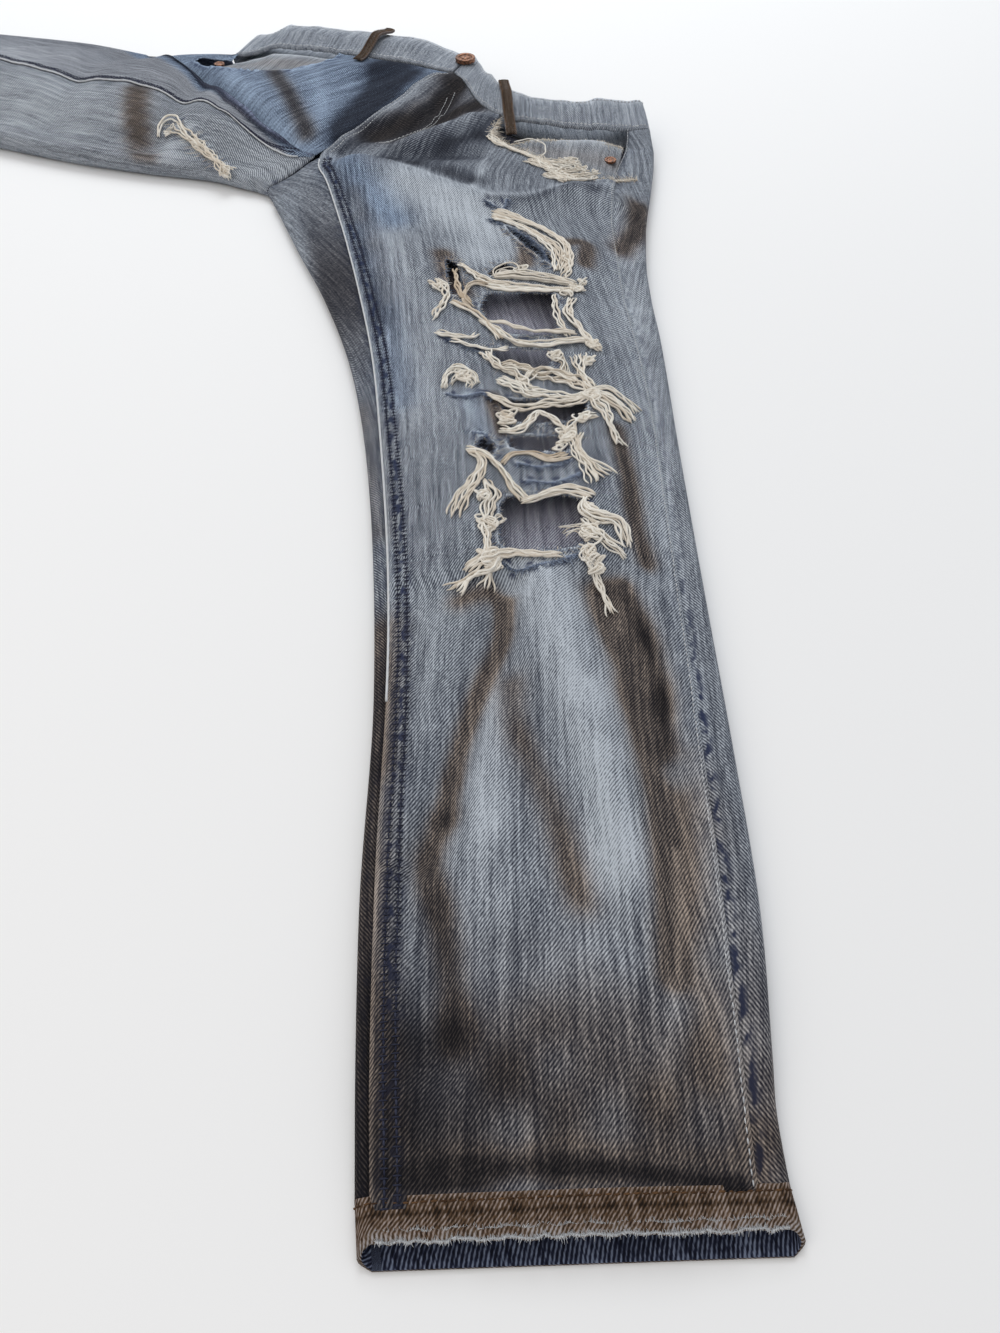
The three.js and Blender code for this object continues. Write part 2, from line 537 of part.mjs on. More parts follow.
/** A folded hem: a ring round the bottom of a leg. Its rows run from its stitched edge to its worn edge. */
function hemRows([inner, outer], [innerOut, outerOut], down, radius, height) {
  return [0.7, HEM_DEPTH / 2, HEM_DEPTH].map((depth) => {
    const dropped = depth + (HEM_DROP * depth) / HEM_DEPTH;
    const [innerTop, outerTop] = [inner, outer].map((place) => moved(place, down, depth));
    const [innerFoot, outerFoot] = [inner, outer].map((place) => moved(place, down, dropped));
    const turn = (top, foot, out, from, to) =>
      roll(top, out, radius, from, to).map((place, k, all) => {
        const share = from < to ? k / (all.length - 1) : 1 - k / (all.length - 1);
        return place.add(point(foot[0] - top[0], foot[1] - top[1]).multiplyScalar(share));
      });
    const between = ([from, fromOut], [to, toOut]) =>
      run(moved(from, fromOut, -radius), moved(to, toOut, -radius), 7).slice(1, -1);
    const across = between([innerTop, innerOut], [outerTop, outerOut]);
    const back = between([outerFoot, outerOut], [innerFoot, innerOut]);
    return [
      ...turn(innerTop, innerFoot, innerOut, Math.PI, 0),
      ...lift(across, height),
      ...turn(outerTop, outerFoot, outerOut, 0, Math.PI),
      ...lift(back, floorHeight),
    ];
  });
}
const leftEnd = LEFT_ROWS.at(-1);
const rightEnd = RIGHT_ROWS.at(-1);
const leftHemRows = () =>
  hemRows([leftEnd.inner, leftEnd.outer], [[-1, 0], [1, 0]], [0, -1], EDGE, bodyTop);
const rightHemRows = () =>
  hemRows([rightEnd.near, rightEnd.far], [NEAR_OUT, FAR_OUT], legAxis, ROLL, thighTop);

// Places on the hips, measured up from the crotch and across from the centre line.
const onHip = (up, across) => [
  Math.cos(HIP_TILT) * up + Math.sin(HIP_TILT) * across,
  Math.sin(HIP_TILT) * up - Math.cos(HIP_TILT) * across,
];

// The left front pocket: its worn mouth, and the facing that shows in it, torn off along the waistband.
const POCKET_MOUTH = [
  [151, 60], [147, 34], [137, 10], [142, -8], [160, -26], [172, -48], [190, -71], [214, -70], [236, -58],
];
const POCKET_BEYOND = [[290, -50], [290, 70], [200, 70]];
const FACING_TOP = curveAt([[150, 3], [166, 7], [190, 3], [218, -2], [238, -6]]);
const FACING_FOOT = curveAt([[152, -28], [166, -52], [186, -80], [206, -84], [216, -78]]);

// The right one, whole: its facing runs up to the waistband.
const RIGHT_MOUTH = [
  [36, 210], [24, 178], [8, 163], [-18, 155], [-46, 158], [-72, 169], [-92, 185], [-102, 205],
];
const RIGHT_BEYOND = [[-98, 219], [-70, 207], [-58, 240]];
const RIGHT_FACING_TOP = curveAt([[30, 177], [8, 188], [-32, 204], [-68, 211]]);
const RIGHT_FACING_FOOT = curveAt([[14, 152], [-18, 144], [-48, 147], [-78, 160], [-98, 180]]);
const FACING_DROP = CLOTH + 1.9; // from the front's face down to the facing's

/** Rows of a pocket's facing, from its edge by the waistband to its edge inside the mouth. */
function facingRows(top, foot, drop) {
  const rows = steps(5).map((t) => lift(steps(7).map((u) => mixPoint(top(u), foot(u), t)), bodyTop));
  return raised(rows, drop);
}

/** A back pocket, flat under the seat: five-sided, with its point towards the thigh. */
function backPocketRows(side) {
  return steps(4).map((t) =>
    steps(6).map((u) => {
      const width = mix(BACK_POCKET.wide, BACK_POCKET.narrow, t);
      const middle = BACK_POCKET.from + BACK_POCKET.wide / 2;
      const sag = BACK_POCKET.point * t * (1 - Math.abs(2 * u - 1));
      const up = BACK_POCKET.low + BACK_POCKET.tall * (1 - t) - sag;
      return point(...onHip(up, side * (middle + width * (u - 0.5))));
    }),
  );
}

/** A belt loop: a strip over the waistband, from below its seam to above its top edge. */
function loopRows(foot, head, height, bow, clear) {
  const along = unit(foot, head);
  const length = Math.hypot(head[0] - foot[0], head[1] - foot[1]);
  const across = [along[1], -along[0]];
  return steps(5).map((t) =>
    [-0.5, 0, 0.5].map((share) => {
      const place = moved(mixPoint(head, foot, t), across, share * LOOP.width);
      const arch = bow * Math.sin(Math.PI * clamp((t * length - LOOP.above) / (length - LOOP.below), 0, 1));
      return point(...place, height(...place) + clear + arch);
    }),
  );
}

// Rips down the left thigh and knee: the outline of each hole.
const RIPS = [
  [[122, -112], [141, -130], [160, -168], [158, -188], [146, -168], [128, -136]],
  [[108, -186], [120, -172], [131, -178], [127, -190]],
  [[84, -164], [94, -172], [93, -208], [82, -212]],
  [[106, -205], [153, -212], [145, -260], [107, -253], [100, -226]],
  [[101, -266], [143, -274], [131, -296], [104, -287]],
  [[99, -316], [151, -324], [146, -342], [103, -340]],
  [[100, -349], [136, -353], [133, -366], [101, -362]],
  [[81, -358], [87, -349], [94, -354], [92, -368]],
  [[90, -396], [134, -400], [130, -438], [85, -436]],
];
const RIGHT_RIP = [[-118, 72], [-104, 76], [-84, 36], [-66, 8], [-72, 4], [-92, 30]];

// Yarns left hanging in and over the rips, in bundles.
const YARNS = [
  [[128, -114], [150, -140], [163, -172], [161, -196]],
  [[90, -172], [104, -192], [128, -203], [164, -212]],
  [[72, -200], [82, -222], [99, -238], [107, -259], [143, -270], [164, -273]],
  [[98, -274], [121, -294], [150, -306]],
  [[85, -306], [108, -313], [140, -322], [160, -318], [172, -340]],
  [[97, -328], [106, -345], [122, -341], [142, -354]],
  [[75, -362], [88, -370], [98, -388], [106, -399], [138, -396], [142, -424]],
  [[82, -384], [75, -392], [67, -408], [63, -430]],
  [[76, -441], [92, -441], [112, -443], [126, -447]],
];
const RIGHT_YARN = [[-116, 82], [-104, 62], [-84, 34], [-66, 2]];

/** A bundle of yarns lying along a line, just clear of the cloth. */
function yarnBundle(places, height) {
  const clear = YARN_RADIUS + 1.6;
  const at = curveAt(places);
  const route = new THREE.CatmullRomCurve3(
    steps(8).map(at).map(([x, y]) => {
      const around = [[0, 0], [5, 0], [-5, 0], [0, 5], [0, -5]].map(([dx, dy]) => height(x + dx, y + dy));
      return point(x, y, Math.max(...around) + clear);
    }),
  );
  const section = new THREE.Shape(
    steps(6).slice(1).map((t) => {
      const turn = 2 * Math.PI * t;
      return new THREE.Vector2(YARN_RADIUS * Math.cos(turn), YARN_RADIUS * Math.sin(turn));
    }),
  );
  return new THREE.ExtrudeGeometry(section, { steps: 10, extrudePath: route });
}

/** A turned disc with a rounded head, standing on the cloth at a place. */
function stud([x, y], { radius, height }, lowest, segments = 14) {
  const profile = [[0, 0], [0.8, 0], [1, 0.35], [0.94, 0.8], [0.72, 1], [0.5, 0.86], [0, 0.9]];
  const turned = profile.map(([r, z]) => new THREE.Vector2(r * radius, z * height));
  const geometry = new THREE.LatheGeometry(turned, segments);
  return geometry.rotateX(Math.PI / 2).translate(x, y, lowest);
}

function solidOf(geometry) {
  const bare = geometry.clone();
  ["normal", "uv"].forEach((name) => bare.deleteAttribute(name));
  const merged = mergeVertices(bare, 1e-3);
  const vertProperties = merged.attributes.position.array;
  const triVerts = new Uint32Array(merged.index.array);
  return new wasm.Manifold(new wasm.Mesh({ numProp: 3, vertProperties, triVerts }));
}

/** A geometry with upright holes cut through it. */
function cutThrough(geometry, outlines, lowest) {
  const cut = outlines.reduce((solid, outline) => {
    const shape = new THREE.Shape(outline.map(([x, y]) => new THREE.Vector2(x, y)));
    const hole = new THREE.ExtrudeGeometry(shape, { depth: 60, bevelEnabled: false });
    return solid.subtract(solidOf(hole.translate(0, 0, lowest)));
  }, solidOf(geometry));
  const { vertProperties, triVerts } = cut.getMesh();
  const result = new THREE.BufferGeometry();
  result.setAttribute("position", new THREE.BufferAttribute(vertProperties, 3));
  result.setIndex(new THREE.BufferAttribute(triVerts, 1));
  result.computeVertexNormals();
  return result;
}

/** How much higher than a flat lay the cloth stands round the open waist, as a share of its height. */
function standing(x, y) {
  const [buttonX, buttonY] = STANDING.button;
  const [cornerX, cornerY] = STANDING.at;
  const waistTop = [...steps(10).map(rightTop).reverse(), ...steps(10).map(leftTop).slice(1)];
  const besideButton = ease((Math.hypot(x - buttonX, y - buttonY) - 18) / 34);
  const fromCorner = Math.hypot(x - cornerX, y - cornerY) / STANDING.spread;
  const alongTop = ease(1 - distanceTo(waistTop, x, y) / STANDING.reach) * besideButton;
  return STANDING.top * alongTop + STANDING.corner * Math.exp(-(fromCorner ** 2));
}

const jeans = new THREE.Group();
/** Adds a named solid, raised where the waist stands open. */
function add(name, geometry, finish) {
  const places = geometry.attributes.position;
  for (let k = 0; k < places.count; k += 1) {
    places.setZ(k, places.getZ(k) * (1 + standing(places.getX(k), places.getY(k))));
  }
  const mesh = new THREE.Mesh(geometry, new THREE.MeshStandardMaterial({ metalness: 0, ...finish }));
  mesh.name = name;
  jeans.add(mesh);
}

const leftFront = clothWall(leftFrontRows(steps(12)), CLOTH);
const rightFront = clothWall(rightFrontRows(), CLOTH, { facing: -1 });
const rightBack = clothWall(rightBackRows(), CLOTH);
add("left_front", cutThrough(leftFront, [...RIPS, [...POCKET_MOUTH, ...POCKET_BEYOND]], 4), FINISH.leftFront);
add("left_back", clothWall(leftBackRows(), CLOTH, { facing: -1 }), FINISH.leftBack);
add("right_front", cutThrough(rightFront, [[...RIGHT_MOUTH, ...RIGHT_BEYOND]], 4), FINISH.rightFront);
add("right_back", cutThrough(rightBack, [RIGHT_RIP], 10), FINISH.rightBack);
add("yoke_left", clothWall(leftYokeRows(), CLOTH, { facing: -1 }), FINISH.leftBack);
add("yoke_right", clothWall(rightYokeRows(), CLOTH), FINISH.rightBack);
add("waistband_left", clothWall(leftBandRows(), BAND, { facing: -1 }), FINISH.band);
add("waistband_right", clothWall(rightBandRows(), BAND), FINISH.band);
add("hem_left", clothWall(leftHemRows(), BAND, { looped: true }), FINISH.hem);
add("hem_right", clothWall(rightHemRows(), BAND, { looped: true, facing: -1 }), FINISH.hem);
add("pocket_facing_left", clothWall(facingRows(FACING_TOP, FACING_FOOT, -FACING_DROP), CLOTH), FINISH.facing);
const rightFacing = facingRows(RIGHT_FACING_TOP, RIGHT_FACING_FOOT, FACING_DROP);
add("pocket_facing_right", clothWall(rightFacing, CLOTH, { facing: -1 }), FINISH.facing);
["left", "right"].forEach((name, k) => {
  const wall = clothWall(backPocketRows(1 - 2 * k), CLOTH, { facing: 2 * k - 1 });
  add(`back_pocket_${name}`, wall, FINISH.leftBack);
});
YARNS.forEach((places, k) => add(`rip_yarns_${k + 1}`, yarnBundle(places, bodyTop), FINISH.yarn));
add("rip_yarns_right_leg", yarnBundle(RIGHT_YARN, thighTop), FINISH.yarn);

/** The foot and head of a back belt loop, at a share of the way from the centre back to a side. */
const backLoop = (share, seamLine, topLine) => [
  moved(seamLine(share), unit(topLine(share), seamLine(share)), LOOP.below - 6),
  moved(topLine(share), unit(seamLine(share), topLine(share)), 6),
];
const LOOPS = {
  front_left: [[152.5, 3], [157.5, 87], bodyTop, LOOP.bow, LOOP.wall + 0.8],
  front_right: [[41, 163], [73, 208.5], bodyTop, LOOP.bow, LOOP.wall + 0.8],
  back_left: [...backLoop(0.68, leftWaist, leftTop), () => 0, 0, 0],
  back_middle: [[121, 141], [150, 178], () => 0, 0, 0],
  back_right: [...backLoop(0.55, rightWaist, rightTop), () => 0, 0, 0],
};
Object.entries(LOOPS).forEach(([place, strip]) => {
  const facing = place.startsWith("back") ? -1 : 1;
  add(`belt_loop_${place}`, clothWall(loopRows(...strip), LOOP.wall, { facing }), FINISH.band);
});
add("waist_button", stud([133, 151], BUTTON, bodyTop(133, 151) + 1.2, 20), FINISH.copper);
add("rivet_left", stud([223, -34], RIVET, bodyTop(223, -34) - 1.6), FINISH.copper);
add("rivet_right", stud([-80, 196], RIVET, bodyTop(-80, 196) - 1.6), FINISH.copper);

export default jeans;
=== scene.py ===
"""Ripped jeans laid flat with the front up: denim shells, seams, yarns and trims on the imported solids.

Plan lines and heights are in millimetres, in the part's frame, and become metres where a mesh is made.
"""
import logging
import math
from collections.abc import Callable, Iterable, Sequence
from dataclasses import dataclass, field
from enum import Enum

import bpy
import numpy as np
from mathutils import Matrix, Vector


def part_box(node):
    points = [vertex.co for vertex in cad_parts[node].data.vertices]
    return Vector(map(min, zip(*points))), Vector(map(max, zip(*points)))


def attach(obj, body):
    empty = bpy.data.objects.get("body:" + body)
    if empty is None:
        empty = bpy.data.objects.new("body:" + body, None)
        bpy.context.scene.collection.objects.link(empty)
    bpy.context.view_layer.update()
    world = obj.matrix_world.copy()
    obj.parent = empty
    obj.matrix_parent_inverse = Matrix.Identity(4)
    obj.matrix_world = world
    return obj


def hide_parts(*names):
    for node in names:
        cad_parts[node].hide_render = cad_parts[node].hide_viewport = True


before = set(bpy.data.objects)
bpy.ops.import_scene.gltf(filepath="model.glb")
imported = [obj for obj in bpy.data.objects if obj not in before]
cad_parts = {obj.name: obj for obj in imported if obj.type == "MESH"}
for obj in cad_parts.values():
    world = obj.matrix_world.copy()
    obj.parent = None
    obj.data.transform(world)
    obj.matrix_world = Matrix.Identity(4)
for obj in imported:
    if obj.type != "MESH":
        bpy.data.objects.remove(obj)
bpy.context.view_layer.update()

logging.basicConfig(level=logging.INFO, format="%(relativeCreated)6d ms  %(message)s")
log = logging.getLogger("jeans")

MM = 0.001
Array = np.ndarray
Place = tuple[float, float]
Curve = Callable[[Array], Array]
Color = tuple[float, float, float]
Spot = tuple[float, float, float]
Object = bpy.types.Object
Material = bpy.types.Material
Socket = bpy.types.NodeSocket
Strands = tuple[list[Array], list[Array], list[float]]


# ---------------------------------------------------------------- plan lines


def ease(t: Array | float) -> Array:
    """A smooth step from 0 to 1."""
    t = np.clip(t, 0.0, 1.0)
    return t * t * (3.0 - 2.0 * t)


def mix(a: Array | float, b: Array | float, t: Array | float) -> Array:
    """The value a share t of the way from a to b."""
    return a + (b - a) * t


def bell(distance: Array, reach: float) -> Array:
    """A soft bump: 1 on a line, fading over its reach."""
    return np.exp(-((distance / reach) ** 2))


def unit_of(v: Array) -> Array:
    """Vectors made one long."""
    return v / np.maximum(np.linalg.norm(v, axis=-1, keepdims=True), 1e-9)


def unit(a: Array, b: Array) -> Array:
    """The plan direction from a to b."""
    return unit_of(np.asarray(b, float) - np.asarray(a, float))


def run_of(line: Array) -> Array:
    """The distance along a line at each of its places."""
    return np.concatenate([[0], np.cumsum(np.linalg.norm(np.diff(line, axis=0), axis=1))])


def through(pairs: Sequence[Place]) -> Curve:
    """A smooth function through [input, output] pairs whose inputs rise."""
    xs, ys = np.array(pairs, float).T
    slopes = np.empty_like(ys)
    slopes[1:-1] = (ys[2:] - ys[:-2]) / (xs[2:] - xs[:-2])
    slopes[0] = (ys[1] - ys[0]) / (xs[1] - xs[0])
    slopes[-1] = (ys[-1] - ys[-2]) / (xs[-1] - xs[-2])

    def curve(q: Array) -> Array:
        """The function's value."""
        q = np.clip(q, xs[0], xs[-1])
        k = np.clip(np.searchsorted(xs, q) - 1, 0, len(xs) - 2)
        run = xs[k + 1] - xs[k]
        t = (q - xs[k]) / run
        bend = slopes[k] * run * t * (1 - t) ** 2 - slopes[k + 1] * run * t * t * (1 - t)
        return mix(ys[k], ys[k + 1], ease(t)) + bend

    return curve


def cubic(b: Array, c: Array, into: Array, out: Array, t: Array) -> Array:
    """The smooth stretch from b to c, with its slopes at both."""
    return b + into * t + (3 * (c - b) - 2 * into - out) * t**2 + (2 * (b - c) + into + out) * t**3


class Route:
    """A smooth line through places, read by the share of its length."""

    def __init__(self, places: Sequence[Sequence[float]], per_span: int = 24) -> None:
        """Samples a centripetal curve through the places."""
        p = np.array(places, float)
        ends = np.vstack([2 * p[0] - p[1], p, 2 * p[-1] - p[-2]])
        spans = [p[:1]]
        t = np.linspace(0, 1, per_span + 1)[1:, None]
        for a, b, c, d in zip(ends, ends[1:], ends[2:], ends[3:]):
            ab, bc, cd = (max(np.linalg.norm(w) ** 0.5, 1e-4) for w in (b - a, c - b, d - c))
            into = ((b - a) / ab - (c - a) / (ab + bc) + (c - b) / bc) * bc
            out = ((c - b) / bc - (d - b) / (bc + cd) + (d - c) / cd) * bc
            spans.append(cubic(b, c, into, out, t))
        self.points = np.vstack(spans)
        along = run_of(self.points)
        self.length = float(along[-1])
        self.shares = along / along[-1]

    def __call__(self, t: Array | float) -> Array:
        """The places at shares t of the length."""
        t = np.asarray(t, float)
        return np.stack([np.interp(t, self.shares, column) for column in self.points.T], -1)

    def spaced(self, pitch: float) -> Array:
        """Places about a pitch apart along the whole line."""
        return self(np.linspace(0, 1, max(int(round(self.length / pitch)), 2) + 1))


def distance_to(line: Array, p: Array) -> Array:
    """Shortest plan distance from places to a line through points."""
    best = np.full(p.shape[:-1], np.inf)
    for a, b in zip(line[:-1], line[1:]):
        d = b - a
        t = np.clip(((p - a) @ d) / max(float(d @ d), 1e-9), 0, 1)
        best = np.minimum(best, np.linalg.norm(p - a - t[..., None] * d, axis=-1))
    return best


def nearest_edge(lines: Sequence[Array], p: Array) -> Array:
    """Shortest plan distance from places to any of several lines."""
    return np.min([distance_to(line, p) for line in lines], axis=0)


class Unevenness:
    """Smooth seeded noise over a plan, from -1 to 1."""

    def __init__(self, seed: int, size: int = 61) -> None:
        """Draws the lattice."""
        self.table = np.random.default_rng(seed).uniform(-1, 1, (size, size))
        self.size = size

    def __call__(self, x: Array, y: Array, cell: float) -> Array:
        """The noise at places, with lattice cells of a given size."""
        gx, gy = np.asarray(x, float) / cell, np.asarray(y, float) / cell
        i, j = np.floor(gx).astype(int), np.floor(gy).astype(int)
        fx, fy = ease(gx - i), ease(gy - j)
        low = mix(self.knot(i, j), self.knot(i + 1, j), fx)
        high = mix(self.knot(i, j + 1), self.knot(i + 1, j + 1), fx)
        return mix(low, high, fy)

    def knot(self, i: Array, j: Array) -> Array:
        """The lattice's values, repeating past its edges."""
        return self.table[i % self.size, j % self.size]


UNEVEN = Unevenness(7)

# The left leg, X against Y.
inner_side = through([
    (-745, -2), (-610, 6), (-510, 17), (-400, 22), (-310, 21), (-240, 15), (-172, 2), (-112, -14),
    (-60, -27), (-21, -37),
])
inseam_x = through([
    (-731, 4), (-665, 8), (-592, 14), (-502, 24), (-427, 29), (-320, 31), (-240, 30), (-141, 22),
    (-60, 12), (3, 0),
])
outseam_x = through([
    (-752, 130), (-686, 139), (-627, 148), (-564, 157), (-486, 168), (-404, 179), (-310, 191),
    (-204, 198), (-122, 207),
])
outer_side = through([
    (-752, 143), (-704, 147), (-685, 151), (-629, 163), (-556, 173), (-475, 183), (-357, 198), (-252, 212),
    (-183, 219), (-120, 232),
])

# The right leg, n across it against s along it.
SWING = math.radians(151)
LEG_AXIS = np.array([math.cos(SWING), math.sin(SWING)])
LEG_ACROSS = np.array([math.sin(SWING), -math.cos(SWING)])


def swung(s: Array | float, n: Array | float) -> Array:
    """A plan place from the right leg's own measures."""
    return np.asarray(s, float)[..., None] * LEG_AXIS + np.asarray(n, float)[..., None] * LEG_ACROSS


near_side = through([(26, -36), (75, -34), (130, -41), (192, -46), (300, -45), (450, -41), (760, -40)])
far_side = through([(235, 130), (300, 133), (400, 122), (500, 112), (600, 106), (760, 102)])
rolled_inseam = through([(0, 3), (27, -2), (59, 9), (102, 29), (140, 37), (200, 38), (430, 30), (760, 8)])
rolled_outseam = through([(235, 112), (262, 98), (300, 84), (360, 75), (760, 73)])

# The hips. Each route runs from the waist seam down, or from the front opening to a side.
HIP_TILT = math.radians(53.4)
CROTCH = (0, 3)
CORNER = (-37, -21)
rise = Route([(121, 136), (96, 120), (66, 84), (33, 42), CROTCH])
left_waist = Route([
    (121, 136), (128, 98), (132, 72), (140, 52), (155, 34), (178, 22), (200, 12), (222, 4), (247, 9),
])
left_top = Route([(143, 165), (148, 132), (151, 104), (157, 82), (170, 66), (198, 48), (221, 40), (250, 45)])
right_waist = Route([(121, 136), (88, 154), (48, 174), (8, 193), (-32, 209), (-62, 219)])
right_top = Route([(143, 165), (110, 185), (70, 205), (28, 224), (-12, 241), (-42, 253)])
left_outseam = Route([(247, 9), (241, -16), (231, -40), (221, -66), (212, -96)])
left_hip = Route([(265, 11), (262, -16), (255, -43), (247, -71), (238, -100)])
right_hip = Route([(-70, 222), (-98, 233), (-122, 235), (-141, 229)])
seat_seam = Route([(126, 148), (98, 116), (66, 80), (34, 38), (6, 12), (-12, -2), (-30, -16.5)])
thigh_fold = Route([(-1, 4), (-33, 35), (-56, 68), (-85, 123), (-115, 175), (-140, 218)])
BACK_TOP = np.array([149.0, 177.0])


@dataclass(frozen=True)
class Fold:
    """A soft ridge, or a trough where its height is negative."""

    line: Array
    height: float
    reach: float

    def lift(self, p: Array) -> Array:
        """The height that it adds at places."""
        added = np.zeros(p.shape[:-1])
        margin = 2.6 * self.reach
        near = np.all((p > self.line.min(0) - margin) & (p < self.line.max(0) + margin), axis=-1)
        if near.any():
            added[near] = self.height * bell(distance_to(self.line, p[near]), self.reach)
        return added


def fold(places: Sequence[Place], height: float, reach: float) -> Fold:
    """A fold along a smooth line through a few places."""
    return Fold(Route(places, 5).points, height, reach)


def leg_fold(places: Sequence[Place], height: float, reach: float) -> Fold:
    """A fold on the right leg, in its own measures."""
    return fold([tuple(swung(s, n)) for s, n in places], height, reach)


SMALL_FOLDS = [
    fold([(176, -97), (200, -88), (222, -84), (264, -76)], 2.2, 4.5),
    fold([(134, -20), (123, -52), (113, -84)], 1.3, 4.5),
    fold([(30, -120), (60, -170), (92, -205)], 1.2, 10),
    fold([(150, -200), (182, -215), (215, -208)], -1.3, 8),
    fold([(70, -300), (88, -330), (92, -352)], -1.4, 7),
    fold([(152, -345), (172, -352), (196, -340)], 1.1, 7),
    fold([(162, -352), (162, -388), (157, -430), (160, -452)], -1.8, 6),
    fold([(148, -470), (160, -520), (158, -600)], 1.3, 9),
    fold([(50, -450), (46, -520), (40, -560)], 1.2, 9),
    fold([(74, -520), (66, -590), (70, -650)], 1.6, 12),
    fold([(140, -620), (126, -656), (112, -690)], 1.4, 5),
    fold([(24, -620), (60, -640), (95, -636)], -0.9, 9),
    fold([(60, -660), (90, -672), (120, -664)], -1.0, 8),
    fold([(38, -690), (70, -684), (104, -694)], 0.9, 6),
    fold([(88, 60), (104, 50), (116, 54)], 2.0, 6),
    fold([(58, 52), (82, 78), (92, 104)], 1.8, 6),
    fold([(-20, 120), (20, 150), (66, 160)], 1.4, 10),
    leg_fold([(60, -34), (90, 0), (100, 40)], -2.0, 8),
    leg_fold([(170, -45), (190, 10), (186, 60)], 1.6, 9),
    leg_fold([(280, -40), (300, 20), (290, 80)], -1.6, 9),
    leg_fold([(520, 90), (560, 40), (640, 30)], 1.3, 12),
]
MAIN_FOLDS = [
    fold([(87, -455), (70, -509), (53, -545), (35, -590)], -8, 10),
    fold([(83, -510), (95, -556), (105, -635)], -4.5, 11),
    fold([(128, -462), (138, -518), (137, -571), (129, -650)], -7.5, 13),
    fold([(107, -465), (113, -558), (117, -627)], 5, 16),
    fold([(23, -600), (32, -640), (33, -672)], -4, 9),
    fold([(12, -697), (60, -703), (128, -719)], -2.5, 8),
    fold([(34, -26), (83, -66), (123, -97), (165, -97), (222, -90)], 6, 15),
    fold([(23, 6), (65, -12), (125, -20)], -4, 10),
    fold([(69, -2), (107, 20), (134, 36), (152, 34)], 6, 9),
    fold([(48, 26), (78, 40), (103, 66), (118, 98)], -7, 15),
    fold([(-30, 60), (20, 105), (60, 135)], -4, 18),
    fold([(60, -150), (72, -240), (70, -330), (62, -420)], 4, 26),
    fold([(176, -170), (172, -260), (160, -360), (150, -430)], 4, 16),
    leg_fold([(128, -40), (136, 10), (140, 60)], -7, 14),
    leg_fold([(225, -30), (245, 60), (258, 120)], -5, 15),
    leg_fold([(330, 100), (380, 20), (400, -30)], -5, 14),
    leg_fold([(470, -30), (520, 60), (560, 100)], -4, 14),
    leg_fold([(300, 30), (430, 40), (600, 24)], 4, 20),
]


